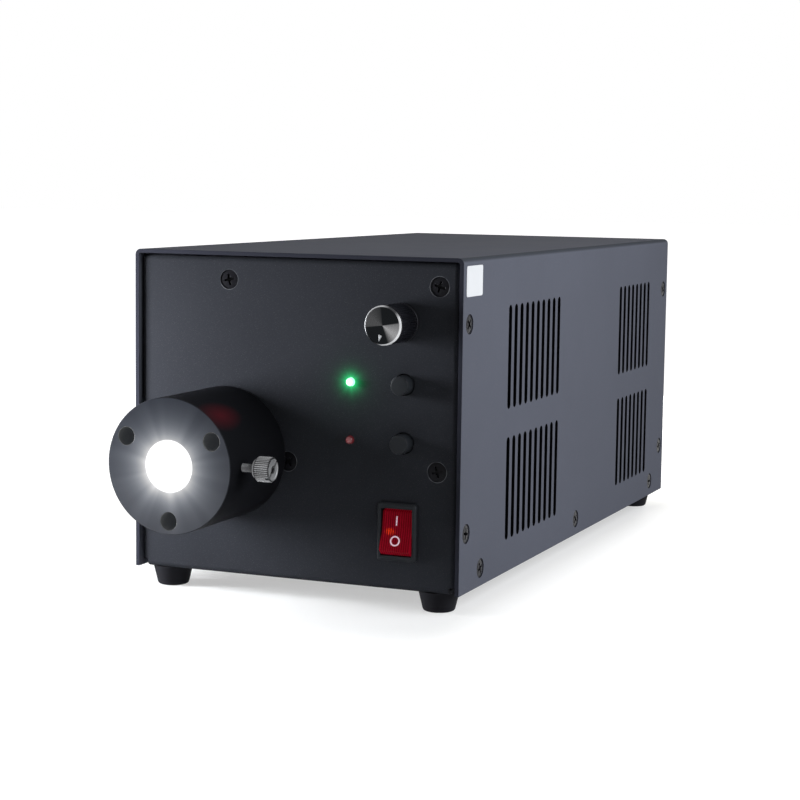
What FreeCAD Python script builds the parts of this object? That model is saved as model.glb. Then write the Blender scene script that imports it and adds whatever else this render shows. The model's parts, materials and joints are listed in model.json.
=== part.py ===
import FreeCAD, Part
import math
import os

# A fiber optic illuminator: a lamp in a vented case, with a port for a light guide.
# The pieces are drawn in the case's own frame: X to the right seen from the front,
# Y back from the front edge of the cover, Z up from the underside of the tray.
# They are saved with the origin on the bench, below the middle of the whole object.
# All sizes are millimetres.

# Fits and allowances
overrun = 5.0
running_fit = 0.05
thread_fit = 0.05
sliding_fit = 0.2
seat_gap = 0.1

# Cover
cover_width = 131.0
cover_height = 120.0
cover_depth = 275.0
cover_wall = 1.5
cover_bend = 2.2

# Vent slots in the cover's sides, two rows at each end
vent_width = 3.5
vent_pitch = 6.5
vent_low_row = 12.4
vent_row_gap = 10.7
vent_top_drop = 18.9
front_vents = 10
front_vent_inset = 50.1
rear_vents = 8
rear_vent_inset = 32.6

# Folded tray: front panel, base and rear panel in one sheet
tray_wall = 1.5
tray_bend = 2.0
tray_gap = 0.4
panel_recess = 1.5
panel_flange = 12.5
base_flange = 12.0
corner_relief = 2.5

# Countersunk screws with a cross recess, in the cover and the front panel
flat_head_radius = 3.55
flat_head_rim = 0.25
flat_head_height = 2.1
flat_thread_radius = 1.75
cover_screw_length = 6.5
panel_screw_length = 9.0
edge_screw_inset = 6.6
edge_screw_low = 21.7
edge_screw_drop = 23.4
base_screw_inset = 22.0
base_screw_height = 6.6

# Cross recess of every cross-head screw
recess_span = 4.0
recess_tip = 1.4
recess_width = 1.0
recess_depth = 1.5
screw_turn_angle = 37.0

# Small round-headed screws
pan_head_radius = 2.75
pan_head_height = 2.0
pan_thread_radius = 1.5
thread_tip = 0.4

# Feet
foot_height = 7.5
foot_top_radius = 7.6
foot_bottom_radius = 5.75
foot_edge = 1.2
foot_side_inset = 11.0
foot_end_inset = 9.4
foot_pocket_radius = 3.4
foot_pocket_depth = 4.0
foot_screw_length = 7.0

# Light port tube
tube_side_inset = 35.6
tube_z = 46.0
tube_radius = 24.3
tube_reach = 42.0
tube_chamfer = 0.2
port_radius = 9.0
port_chamfer = 0.4
port_hole_radius = 3.25
port_hole_circle = 19.5
port_hole_depth = 34.0
port_hole_angles = (30.0, 150.0, 270.0)
port_screw_length = 18.0
cap_head_radius = 2.75
cap_head_height = 3.0
cap_socket_flats = 2.5
cap_socket_depth = 1.6

# Clamp screw in the tube's right side
clamp_setback = 9.7
clamp_head_gap = 4.9
clamp_head_radius = 4.45
clamp_head_length = 6.9
clamp_head_chamfer = 0.5
clamp_neck_radius = 3.4
clamp_neck_length = 1.0
clamp_knurl_count = 36
clamp_knurl_depth = 0.25
clamp_thread_radius = 1.5
clamp_slot_width = 1.1
clamp_slot_depth = 1.6
clamp_slot_angle = 12.0
clamp_pad_radius = 1.25
clamp_pad_length = 1.6
clamp_pin_radius = 0.6
clamp_pin_length = 2.5

# Glass behind the port, and the condenser behind the panel
window_radius = 12.0
window_thickness = 3.0
panel_light_radius = 11.0
barrel_radius = 19.5
barrel_bore = 17.5
barrel_flange_radius = 22.0
barrel_flange = 4.0
lens_radius = 17.2
lens_edge = 3.0
lens_bulge = 3.2
spacer_length = 20.0
spacer_wall = 1.6
retainer_length = 3.0
barrel_tail = 9.0

# Light source and heat sink
emitter_width = 16.0
emitter_thickness = 1.0
emitter_air = 0.4
lamp_board_width = 38.0
lamp_board_thickness = 1.6
sink_side_gap = 1.1
sink_bottom = 11.0
sink_height = 70.0
sink_plate = 8.0
sink_depth = 62.0
sink_fin = 1.5
sink_fins = 13
stand_wall = 1.5
stand_inset = 3.0
stand_foot = 9.0
stand_screw_inset = 8.0
stand_screw_length = 5.0

# Knob, with the potentiometer that it turns
knob_side_inset = 22.1
knob_drop = 21.5
knob_radius = 7.0
knob_face = 15.5
knob_skirt_thickness = 0.8
knob_lift = 0.6
knob_cap_thickness = 1.4
knob_cap_chamfer = 0.8
knob_knurl_count = 44
knob_knurl_depth = 0.35
knob_socket_radius = 6.1
pot_body_radius = 8.4
pot_body_depth = 10.0
pot_wall = 1.2
pot_shaft_radius = 3.0
pot_bush_radius = 3.5
pot_bush_reach = 4.0
pot_nut_flats = 10.0
pot_nut_thickness = 2.0
pot_rotor_radius = 6.5
pot_rotor_thickness = 2.0

# Push buttons
button_side_inset = 20.6
button_row_shares = (0.706, 0.427)
button_radius = 3.5
button_hole_radius = 4.0
button_reach = 5.0
button_chamfer = 0.4
button_flange_radius = 4.6
button_flange = 1.0
button_stem_radius = 1.5
button_stem_length = 7.4
button_travel = 1.5
switch_width = 8.0
switch_depth = 8.0
spring_radius = 2.3
spring_wire = 0.2
spring_turns = 3

# Signal lamps
lamp_side_inset = 41.4
lamp_radius = 1.5
lamp_hole_radius = 1.65
lamp_reach = 2.0
lamp_flange_radius = 1.9
lamp_flange = 1.0
lamp_leg_radius = 0.25
lamp_leg_spacing = 2.54
lamp_spacer_bore = 1.6

# Four screws through the front panel that carry the control board
panel_screw_side_inset = 7.6
panel_screw_left_inset = 36.6
panel_screw_tube_gap = 1.0
panel_screw_drop = 8.4
panel_screw_low = 43.9

# Control board behind the front panel
standoff_length = 12.0
standoff_radius = 2.5
board_thickness = 1.6
board_margin = 4.3
board_screw_length = 4.5
chip_height = 1.6

# Power switch
switch_side_inset = 22.3
switch_z = 21.3
bezel_width = 15.0
bezel_height = 21.0
bezel_proud = 1.8
bezel_chamfer = 0.6
bezel_corner = 0.8
window_width = 12.1
window_height = 17.2
housing_width = 12.9
housing_height = 18.9
housing_depth = 18.0
housing_wall = 1.6
housing_play = 0.1
rocker_side_gap = 0.2
rocker_end_gap = 0.15
rocker_tilt_angle = 12.0
rocker_face_angle = 4.0
rocker_sunk = 0.1
rocker_pivot_depth = 2.2
rocker_nose = 0.95
rocker_shoulder = 0.25
rocker_tail = 4.0
rocker_tail_half = 5.0
rocker_pin_radius = 1.0
rocker_pin_length = 0.35
terminal_width = 4.8
terminal_thickness = 0.8
terminal_length = 8.0
terminal_pitch = 6.0

# Fan on the rear panel
fan_side_inset = 5.6
fan_inlet_gap = 7.0
fan_raise = 3.2
fan_depth = 25.0
fan_corner = 4.0
fan_rim = 2.5
fan_hole_inset = 4.25
fan_boss_radius = 17.0
fan_boss_depth = 5.0
fan_strut_width = 4.0
fan_strut_depth = 3.0
fan_struts = 4
fan_hub_radius = 16.5
fan_hub_gap = 0.5
fan_shaft_radius = 1.5
fan_shaft_length = 3.0
fan_blades = 7
fan_blade_root = 1.5
fan_tip_gap = 0.8
fan_blade_chord = 22.0
fan_blade_thickness = 1.2
fan_blade_root_angle = 50.0
fan_blade_tip_angle = 62.0
guard_wire = 0.8
guard_ring_shares = (0.32, 0.533, 0.747, 0.96)
guard_eye_radius = 3.6
guard_overlap = 0.3
fan_screw_length = 12.0

# Mains inlet with its fuse drawer, upright at the rear right
inlet_side_gap = 6.1
inlet_z = 37.0
inlet_lip = 1.5
inlet_plate_height = 50.0
inlet_plate = 2.5
inlet_corner = 3.0
inlet_screw_spacing = 40.0
inlet_screw_length = 8.0
inlet_body_width = 27.0
inlet_body_height = 31.0
inlet_body_depth = 22.0
socket_offset = -4.5
socket_width = 16.3
socket_height = 24.2
socket_corner = 3.5
socket_depth = 16.5
pin_spacing = 14.0
pin_offset = 4.0
pin_breadth = 4.0
pin_thickness = 2.0
pin_reach = 14.5
pin_tail = 8.0
drawer_offset = 9.0
drawer_width = 6.6
drawer_height = 23.0
drawer_depth = 19.0
drawer_lip = 0.8
drawer_wall = 0.6
fuse_radius = 2.6
fuse_length = 20.0
fuse_cap_length = 5.0

# Circuit boards on the base, with their parts
board_split_share = 0.55
board_gap = 9.2
supply_left_inset = 4.0
supply_sink_gap = 12.0
supply_fan_gap = 13.0
driver_right_inset = 9.0
driver_sink_gap = 8.0
driver_length_share = 0.75
base_standoff_length = 6.0
base_standoff_radius = 2.75
standoff_inset = 4.5
can_height = 22.0
coil_height = 24.0
block_height = 16.0
plate_thickness = 2.0
plate_height = 26.0

# Wires
mains_wire_radius = 2.0
lamp_wire_radius = 1.4
fan_wire_radius = 1.1
ribbon_width = 12.0
ribbon_thickness = 0.9
ribbon_landing_share = 0.17
wire_bend = 8.0
wire_side_inset = 5.0
wire_height = 19.0

# Bare sticker on the right side
label_depth = 16.2
label_height = 10.9
label_inset = 2.9
label_drop = 2.8
label_thickness = 0.1

RIGHT = FreeCAD.Vector(1, 0, 0)
LEFT = FreeCAD.Vector(-1, 0, 0)
BACK = FreeCAD.Vector(0, 1, 0)
FRONT = FreeCAD.Vector(0, -1, 0)
UP = FreeCAD.Vector(0, 0, 1)
DOWN = FreeCAD.Vector(0, 0, -1)

# Planes that many pieces share
case_half = cover_width / 2
tray_half = case_half - cover_wall - tray_gap
tray_top = cover_height - cover_wall - tray_gap
panel_face = panel_recess
panel_back = panel_face + tray_wall
rear_face = cover_depth - panel_recess
rear_inside = rear_face - tray_wall

# Sizes and places that follow the case's sides and top
vent_length = (cover_height - vent_low_row - vent_row_gap - vent_top_drop) / 2
vent_high_row = vent_low_row + vent_length + vent_row_gap
tube_x = tube_side_inset - tray_half
knob_x = tray_half - knob_side_inset
knob_z = tray_top - knob_drop
button_x = tray_half - button_side_inset
lamp_x = tray_half - lamp_side_inset
switch_x = tray_half - switch_side_inset
inlet_x = tray_half - inlet_side_gap - inlet_body_width / 2
inlet_plate_width = inlet_body_width + 2 * inlet_lip
row_heights = [switch_z + share * (knob_z - switch_z) for share in button_row_shares]
panel_screw_right = tray_half - panel_screw_side_inset
panel_screw_left = panel_screw_left_inset - tray_half
panel_screw_middle = tube_x + tube_radius + panel_screw_tube_gap
panel_screw_high = tray_top - panel_screw_drop
panel_screw_places = (
    (panel_screw_right, panel_screw_high),
    (panel_screw_left, panel_screw_high),
    (panel_screw_right, panel_screw_low),
    (panel_screw_middle, panel_screw_low),
)

# Planes along the case
board_face = panel_back + standoff_length
board_back = board_face + board_thickness
barrel_front = panel_back
lens_seat = barrel_front + barrel_flange
retainer_start = lens_seat + 2 * lens_edge + spacer_length
barrel_end = retainer_start + retainer_length + barrel_tail
emitter_face = barrel_end + emitter_air
lamp_board_face = emitter_face + emitter_thickness
sink_face = lamp_board_face + lamp_board_thickness
sink_back = sink_face + sink_depth
sink_width = 2 * (tube_side_inset - tray_wall - sink_side_gap)
clamp_y = clamp_setback - tube_reach
clamp_head_start = tube_x + tube_radius + clamp_head_gap
clamp_pad_start = tube_x + port_radius + sliding_fit + clamp_pad_length
guard_face = rear_face + 2 * guard_wire
rear_reach = guard_face + pan_head_height
shift = FreeCAD.Vector(0, (tube_reach - rear_reach) / 2, foot_height)
rocker_pivot_y = panel_face - bezel_proud + rocker_pivot_depth
button_back = panel_back + seat_gap + button_flange
base_board_z = tray_wall + base_standoff_length
fan_front = rear_inside - fan_depth
fan_left = fan_side_inset - tray_half
fan_width = inlet_x - inlet_plate_width / 2 - fan_inlet_gap - fan_left
fan_x = fan_left + fan_width / 2
fan_z = (tray_wall + tray_top) / 2 + fan_raise
fan_bore = fan_width / 2 - fan_rim
fan_hole_spacing = fan_width - 2 * fan_hole_inset
socket_x = inlet_x + socket_offset
drawer_x = inlet_x + drawer_offset
inlet_face = rear_face + inlet_plate
socket_floor = inlet_face - socket_depth
inlet_end = inlet_face - inlet_body_depth

# Boards side by side on the base, between the heat sink and the fan
board_room = 2 * (tray_half - tray_wall) - supply_left_inset - board_gap - driver_right_inset
supply_width = board_split_share * board_room
driver_width = board_room - supply_width
supply_x = -tray_half + tray_wall + supply_left_inset
driver_x = supply_x + supply_width + board_gap
supply_start = sink_back + supply_sink_gap
driver_start = sink_back + driver_sink_gap
supply_length = fan_front - supply_fan_gap - supply_start
driver_length = driver_length_share * supply_length


def point(x, y, z):
    return FreeCAD.Vector(x, y, z)


def block(x0, x1, y0, y1, z0, z1):
    """A box between two corners."""
    return Part.makeBox(x1 - x0, y1 - y0, z1 - z0, point(x0, y0, z0))


def centred_block(place, width, depth, height):
    """A box around a place, measured along X, Y and Z."""
    corner = place - point(width / 2, depth / 2, height / 2)
    return Part.makeBox(width, depth, height, corner)


def rod(start, direction, length, radius):
    return Part.makeCylinder(radius, length, start, direction)


def pipe(start, direction, length, radius, bore):
    return rod(start, direction, length, radius).cut(rod(start, direction, length, bore))


def prism(corners, travel):
    """A straight-sided solid: a flat outline moved along a vector."""
    return Part.Face(Part.makePolygon(corners + corners[:1])).extrude(travel)


def placed(shape, start, direction, turn=0):
    """Stands a shape drawn along +Z at a place, along a direction, turned about itself."""
    swing = FreeCAD.Rotation(UP, direction)
    spin = FreeCAD.Rotation(UP, turn)
    moved = shape.copy()
    moved.Placement = FreeCAD.Placement(start, swing.multiply(spin))
    return moved


def turned(outline):
    """A solid of revolution about Z from (radius, height) pairs that start and end on the axis."""
    corners = [point(radius, 0, height) for radius, height in outline]
    return Part.Face(Part.makePolygon(corners + corners[:1])).revolve(point(0, 0, 0), UP, 360)


def fused(shapes):
    return shapes[0].multiFuse(shapes[1:]).removeSplitter()


def cut_all(shape, tools):
    return shape.cut(Part.makeCompound(tools))


def group(shapes):
    return Part.makeCompound(shapes)


def ring_points(count, radius, z=0, start_angle=0):
    """Points spread evenly on a circle about Z."""
    points = []
    for index in range(count):
        angle = math.radians(start_angle + 360 * index / count)
        points.append(point(radius * math.cos(angle), radius * math.sin(angle), z))
    return points


def hexagon(across_flats, height):
    corner_radius = across_flats / math.sqrt(3)
    return prism(ring_points(6, corner_radius), UP * height)


def round_edges(shape, radius, direction, chosen=lambda middle: True):
    """Rounds the straight edges that run along a direction and pass a test of their middle."""
    edges = []
    for edge in shape.Edges:
        along = edge.tangentAt(edge.FirstParameter)
        if abs(along.cross(direction).Length) < 1e-6 and chosen(edge.CenterOfMass):
            edges.append(edge)
    return shape.makeFillet(radius, edges)


def knurled(radius, depth, teeth, length):
    """A bar along +Z with straight teeth all round."""
    outline = []
    for index in range(teeth):
        start = 2 * math.pi * index / teeth
        for step, reach in ((0, radius), (0.5, radius - depth)):
            angle = start + 2 * math.pi * step / teeth
            outline.append(point(reach * math.cos(angle), reach * math.sin(angle), 0))
    return prism(outline, UP * length)


def cross_recess():
    """The cross in a screw's head, cut down from the head's face at zero along +Z."""
    half = recess_span / 2
    tip = recess_tip / 2
    outline = [
        point(-half, -recess_width / 2, 0),
        point(half, -recess_width / 2, 0),
        point(tip, -recess_width / 2, recess_depth),
        point(-tip, -recess_width / 2, recess_depth),
    ]
    arm = prism(outline, BACK * recess_width)
    other = arm.copy()
    other.rotate(point(0, 0, 0), UP, 90)
    return arm.fuse(other)


def flat_screw(length):
    """A countersunk screw that drives along +Z, with its face at zero."""
    body = turned([
        (0, 0),
        (flat_head_radius, 0),
        (flat_head_radius, flat_head_rim),
        (flat_thread_radius, flat_head_height),
        (flat_thread_radius, length - thread_tip),
        (flat_thread_radius - thread_tip, length),
        (0, length),
    ])
    return body.cut(cross_recess())


def flat_screw_hole(through):
    """The hole for a countersunk screw: its cone and its shank, a little wider than the screw."""
    return turned([
        (0, -overrun),
        (flat_head_radius + thread_fit, -overrun),
        (flat_head_radius + thread_fit, flat_head_rim + thread_fit),
        (flat_thread_radius + thread_fit, flat_head_height + thread_fit),
        (flat_thread_radius + thread_fit, through),
        (0, through),
    ])


def pan_screw(length, head_radius=pan_head_radius, thread_radius=pan_thread_radius):
    """A round-headed screw that drives along +Z, with the underside of its head at zero."""
    crown = head_radius - pan_head_height / 4
    body = turned([
        (0, -pan_head_height),
        (crown, -pan_head_height),
        (head_radius, -pan_head_height / 2),
        (head_radius, 0),
        (thread_radius, 0),
        (thread_radius, length - thread_tip),
        (thread_radius - thread_tip, length),
        (0, length),
    ])
    recess = cross_recess()
    recess.translate(DOWN * pan_head_height)
    return body.cut(recess)


def cap_screw(length):
    """A socket screw that drives along +Z, with the underside of its head at zero."""
    body = turned([
        (0, -cap_head_height),
        (cap_head_radius, -cap_head_height),
        (cap_head_radius, 0),
        (pan_thread_radius, 0),
        (pan_thread_radius, length - thread_tip),
        (pan_thread_radius - thread_tip, length),
        (0, length),
    ])
    socket = hexagon(cap_socket_flats, cap_socket_depth)
    socket.translate(DOWN * cap_head_height)
    return body.cut(socket)


def thread_hole(start, direction, length, radius=pan_thread_radius):
    return rod(start, direction, length, radius + thread_fit)


def loom(places, radius, bend=wire_bend):
    """A bundle of wires: straight runs joined by arcs that touch both runs."""
    edges = []
    begin = places[0]
    for before, corner, after in zip(places, places[1:], places[2:]):
        into = (corner - before).normalize()
        out = (after - corner).normalize()
        turn = into.getAngle(out)
        shorter = min((corner - before).Length, (after - corner).Length)
        arc_radius = min(bend, 0.45 * shorter / math.tan(turn / 2))
        reach = arc_radius * math.tan(turn / 2)
        arc_start = corner - into * reach
        arc_end = corner + out * reach
        inward = (out - into).normalize()
        sagitta = arc_radius / math.cos(turn / 2) - arc_radius
        arc_middle = corner + inward * sagitta
        edges.append(Part.makeLine(begin, arc_start))
        edges.append(Part.Arc(arc_start, arc_middle, arc_end).toShape())
        begin = arc_end
    edges.append(Part.makeLine(begin, places[-1]))
    along = (places[1] - places[0]).normalize()
    rim = Part.Wire(Part.makeCircle(radius, places[0], along))
    return Part.Wire(edges).makePipeShell([rim], True, False)


def cover_screw_places():
    """Where each side's screws stand, as (y, z): the end panels' four and the base's three."""
    places = []
    for y in (edge_screw_inset, cover_depth - edge_screw_inset):
        for z in (edge_screw_low, cover_height - edge_screw_drop):
            places.append((y, z))
    for y in (base_screw_inset, cover_depth / 2, cover_depth - base_screw_inset):
        places.append((y, base_screw_height))
    return places


def cover_screw_stations():
    """Each cover screw as a place on the cover's side and the way it drives."""
    stations = []
    for side, inward in ((case_half, LEFT), (-case_half, RIGHT)):
        for y, z in cover_screw_places():
            stations.append((point(side, y, z), inward))
    return stations


def cover_screw_holes():
    hole = flat_screw_hole(cover_screw_length)
    return [placed(hole, place, inward) for place, inward in cover_screw_stations()]


def vent_slot(y, low):
    """One slot through both sides of the cover, round at its ends."""
    end = vent_width / 2
    across = 2 * (case_half + overrun)
    start_x = -case_half - overrun
    middle = block(start_x, -start_x, y - end, y + end, low + end, low + vent_length - end)
    bottom = rod(point(start_x, y, low + end), RIGHT, across, end)
    top = rod(point(start_x, y, low + vent_length - end), RIGHT, across, end)
    return middle.multiFuse([bottom, top])


def vent_slots():
    slots = []
    for low in (vent_low_row, vent_high_row):
        for index in range(front_vents):
            slots.append(vent_slot(front_vent_inset + vent_pitch * index, low))
        for index in range(rear_vents):
            slots.append(vent_slot(cover_depth - rear_vent_inset - vent_pitch * index, low))
    return slots


def make_cover():
    outside = block(-case_half, case_half, 0, cover_depth, 0, cover_height)
    outside = round_edges(outside, cover_bend, BACK, lambda middle: middle.z > cover_height / 2)
    inner_half = case_half - cover_wall
    inner_top = cover_height - cover_wall
    inside = block(-inner_half, inner_half, -overrun, cover_depth + overrun, -overrun, inner_top)
    inside = round_edges(inside, cover_bend - cover_wall, BACK, lambda middle: middle.z > cover_height / 2)
    return cut_all(outside.cut(inside), vent_slots() + cover_screw_holes())


def make_cover_screws():
    screw = flat_screw(cover_screw_length)
    screws = []
    for index, (place, inward) in enumerate(cover_screw_stations()):
        screws.append(placed(screw, place, inward, index * screw_turn_angle))
    return group(screws)


def foot_centres():
    """The feet's centres on the underside, as (x, y)."""
    side = case_half - foot_side_inset
    rows = (foot_end_inset, cover_depth - foot_end_inset)
    return [(x, y) for x in (-side, side) for y in rows]


def port_hole_centres(y):
    """The centres of the tube's three screws in an upright plane."""
    centres = []
    for angle in port_hole_angles:
        x = tube_x + port_hole_circle * math.cos(math.radians(angle))
        z = tube_z + port_hole_circle * math.sin(math.radians(angle))
        centres.append(point(x, y, z))
    return centres


def fan_corner_centres(y):
    half = fan_hole_spacing / 2
    return [point(fan_x + i * half, y, fan_z + k * half) for i in (-1, 1) for k in (-1, 1)]


def inlet_screw_centres(y):
    half = inlet_screw_spacing / 2
    return [point(inlet_x, y, inlet_z + k * half) for k in (-1, 1)]


def tray_shell():
    """The folded sheet before its holes: a box of sheet opened between its two ends."""
    outside = block(-tray_half, tray_half, panel_face, rear_face, 0, tray_top)
    outside = outside.makeFillet(tray_bend, outside.Edges)
    half = tray_half - tray_wall
    inside = block(-half, half, panel_back, rear_inside, tray_wall, tray_top - tray_wall)
    inside = inside.makeFillet(tray_bend - tray_wall, inside.Edges)
    front_end = panel_face + panel_flange
    rear_end = rear_face - panel_flange
    past = tray_half + overrun
    opening = block(-past, past, front_end, rear_end, base_flange, tray_top + overrun)
    return outside.cut(inside).cut(opening)


def tray_reliefs():
    """The notches that let each flange bend: corners, and slits between flanges."""
    past = tray_half + overrun
    inner = tray_half - corner_relief
    front_end = panel_face + panel_flange
    rear_end = rear_face - panel_flange
    cuts = []
    for x0, x1 in ((-past, -inner), (inner, past)):
        cuts.append(block(x0, x1, -overrun, front_end, -overrun, corner_relief))
        cuts.append(block(x0, x1, rear_end, rear_face + overrun, -overrun, corner_relief))
        cuts.append(block(x0, x1, front_end, front_end + corner_relief, -overrun, base_flange + overrun))
        cuts.append(block(x0, x1, rear_end - corner_relief, rear_end, -overrun, base_flange + overrun))
        top_low = tray_top - corner_relief
        top_high = tray_top + overrun
        cuts.append(block(x0, x1, panel_face + tray_bend, front_end + overrun, top_low, top_high))
        cuts.append(block(x0, x1, rear_end - overrun, rear_face - tray_bend, top_low, top_high))
    return cuts


def front_panel_holes():
    depth = tray_wall + 2 * overrun
    start = panel_face - overrun
    holes = [rod(point(tube_x, start, tube_z), BACK, depth, panel_light_radius)]
    for centre in port_hole_centres(start):
        holes.append(thread_hole(centre, BACK, depth))
    for x, z in panel_screw_places:
        holes.append(placed(flat_screw_hole(tray_wall + overrun), point(x, panel_face, z), BACK))
    for z in row_heights:
        holes.append(rod(point(button_x, start, z), BACK, depth, button_hole_radius))
    for z in row_heights:
        holes.append(rod(point(lamp_x, start, z), BACK, depth, lamp_hole_radius))
    holes.append(rod(point(knob_x, start, knob_z), BACK, depth, pot_bush_radius + thread_fit))
    width = housing_width + 2 * housing_play
    height = housing_height + 2 * housing_play
    holes.append(centred_block(point(switch_x, panel_face, switch_z), width, depth, height))
    return holes


def rear_panel_holes():
    depth = tray_wall + 2 * overrun
    start = rear_inside - overrun
    holes = [rod(point(fan_x, start, fan_z), BACK, depth, fan_bore)]
    for centre in fan_corner_centres(start):
        holes.append(thread_hole(centre, BACK, depth))
    for centre in inlet_screw_centres(start):
        holes.append(thread_hole(centre, BACK, depth, flat_thread_radius))
    width = inlet_body_width + 2 * housing_play
    height = inlet_body_height + 2 * housing_play
    holes.append(centred_block(point(inlet_x, rear_inside, inlet_z), width, depth, height))
    return holes


def base_board_corners(x0, width, y0, length):
    """The four fixing points of a board on the base, as (x, y)."""
    across = (x0 + standoff_inset, x0 + width - standoff_inset)
    along = (y0 + standoff_inset, y0 + length - standoff_inset)
    return [(x, y) for x in across for y in along]


def base_standoff_places():
    supply = base_board_corners(supply_x, supply_width, supply_start, supply_length)
    driver = base_board_corners(driver_x, driver_width, driver_start, driver_length)
    return supply + driver


def stand_half_width():
    return sink_width / 2 - stand_inset


def stand_screw_places():
    """The fixing points of the heat sink's stand on the base, as (x, y)."""
    reach = stand_half_width() - stand_foot / 2
    rows = (sink_face + stand_screw_inset, sink_back - stand_screw_inset)
    return [(tube_x + side * reach, y) for side in (-1, 1) for y in rows]


def base_holes():
    depth = tray_wall + 2 * overrun
    holes = []
    for x, y in foot_centres():
        holes.append(thread_hole(point(x, y, -overrun), UP, depth))
    for x, y in stand_screw_places() + base_standoff_places():
        holes.append(thread_hole(point(x, y, -overrun), UP, depth))
    return holes


def make_chassis_tray():
    tray = cut_all(tray_shell(), tray_reliefs())
    cuts = front_panel_holes() + rear_panel_holes() + base_holes() + cover_screw_holes()
    return cut_all(tray, cuts)


def make_panel_screws():
    screw = flat_screw(panel_screw_length)
    screws = []
    for index, (x, z) in enumerate(panel_screw_places):
        screws.append(placed(screw, point(x, panel_face, z), BACK, index * screw_turn_angle))
    return group(screws)


def make_feet():
    """Tapered feet with a rounded lower edge and a pocket for the screw's head."""
    body = turned([(0, 0), (foot_top_radius, 0), (foot_bottom_radius, foot_height), (0, foot_height)])
    rim = [edge for edge in body.Edges if edge.CenterOfMass.z > foot_height / 2 and edge.Closed]
    body = body.makeFillet(foot_edge, rim)
    pocket_start = point(0, 0, foot_height - foot_pocket_depth)
    body = body.cut(rod(pocket_start, UP, foot_pocket_depth + overrun, foot_pocket_radius))
    body = body.cut(thread_hole(point(0, 0, -overrun), UP, foot_height + overrun))
    return group([placed(body, point(x, y, 0), DOWN) for x, y in foot_centres()])


def make_foot_screws():
    head_z = foot_pocket_depth - foot_height
    screw = pan_screw(foot_screw_length)
    return group([placed(screw, point(x, y, head_z), UP) for x, y in foot_centres()])


def make_light_port_tube():
    length = tube_reach + panel_face
    body = placed(turned([
        (0, 0),
        (tube_radius - tube_chamfer, 0),
        (tube_radius, tube_chamfer),
        (tube_radius, length),
        (0, length),
    ]), point(tube_x, -tube_reach, tube_z), BACK)
    window_seat = window_thickness + 2 * seat_gap
    seat_radius = window_radius + seat_gap
    bore = placed(turned([
        (0, -overrun),
        (port_radius + port_chamfer, -overrun),
        (port_radius + port_chamfer, 0),
        (port_radius, port_chamfer),
        (port_radius, length - window_seat),
        (seat_radius, length - window_seat),
        (seat_radius, length + overrun),
        (0, length + overrun),
    ]), point(tube_x, -tube_reach, tube_z), BACK)
    cuts = [bore]
    for centre in port_hole_centres(-tube_reach):
        cuts.append(rod(centre + FRONT * overrun, BACK, port_hole_depth + overrun, port_hole_radius))
        cuts.append(thread_hole(centre, BACK, length + overrun))
    clamp_hole_radius = clamp_thread_radius + running_fit
    cuts.append(rod(point(tube_x, clamp_y, tube_z), RIGHT, tube_radius + overrun, clamp_hole_radius))
    return cut_all(body, cuts)


def make_port_screws():
    seat_y = port_hole_depth - tube_reach
    screw = cap_screw(port_screw_length)
    return group([placed(screw, centre, BACK) for centre in port_hole_centres(seat_y)])


def make_port_window():
    start = panel_face - seat_gap - window_thickness
    return rod(point(tube_x, start, tube_z), BACK, window_thickness, window_radius)


def make_thumbscrew():
    """Knurled and slotted head, thread, and a bore for the pad's pin, along the way it drives."""
    head = knurled(clamp_head_radius, clamp_knurl_depth, clamp_knurl_count, clamp_head_length)
    limit = turned([
        (0, 0),
        (clamp_neck_radius, 0),
        (clamp_neck_radius, clamp_neck_length),
        (clamp_head_radius - clamp_head_chamfer, clamp_neck_length),
        (clamp_head_radius, clamp_neck_length + clamp_head_chamfer),
        (clamp_head_radius, clamp_head_length - clamp_head_chamfer),
        (clamp_head_radius - clamp_head_chamfer, clamp_head_length),
        (0, clamp_head_length),
    ])
    head = head.common(limit)
    slot_start = clamp_head_length - clamp_slot_depth
    slot = block(-clamp_head_radius, clamp_head_radius, -clamp_slot_width / 2, clamp_slot_width / 2,
                 slot_start, clamp_head_length + overrun)
    head = placed(head.cut(slot), point(clamp_head_start, clamp_y, tube_z), RIGHT, clamp_slot_angle)
    thread_length = clamp_head_start - clamp_pad_start
    thread = rod(point(clamp_pad_start, clamp_y, tube_z), RIGHT, thread_length, clamp_thread_radius)
    pin_bore_depth = clamp_pin_length + seat_gap
    pin_bore_radius = clamp_pin_radius + running_fit
    pin_bore = rod(point(clamp_pad_start, clamp_y, tube_z), RIGHT, pin_bore_depth, pin_bore_radius)
    return head.fuse(thread).cut(pin_bore).removeSplitter()


def make_clamp_tip():
    """The soft pad that the screw pushes without turning it, and the pin that holds it."""
    pad_length = clamp_pad_length - running_fit
    start = point(clamp_pad_start - clamp_pad_length, clamp_y, tube_z)
    pad = rod(start, RIGHT, pad_length, clamp_pad_radius)
    pin = rod(start, RIGHT, clamp_pad_length + clamp_pin_length, clamp_pin_radius)
    return fused([pad, pin])


def make_lens_barrel():
    start = point(tube_x, barrel_front, tube_z)
    flange = rod(start, BACK, barrel_flange, barrel_flange_radius)
    body = rod(start, BACK, barrel_end - barrel_front, barrel_radius)
    bore = rod(point(tube_x, lens_seat, tube_z), BACK, barrel_end, barrel_bore)
    light = rod(start + FRONT * overrun, BACK, barrel_end, lens_radius - spacer_wall)
    cuts = [bore, light]
    for centre in port_hole_centres(barrel_front):
        cuts.append(thread_hole(centre, BACK, port_screw_length))
    return cut_all(fused([flange, body]), cuts)


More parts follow.
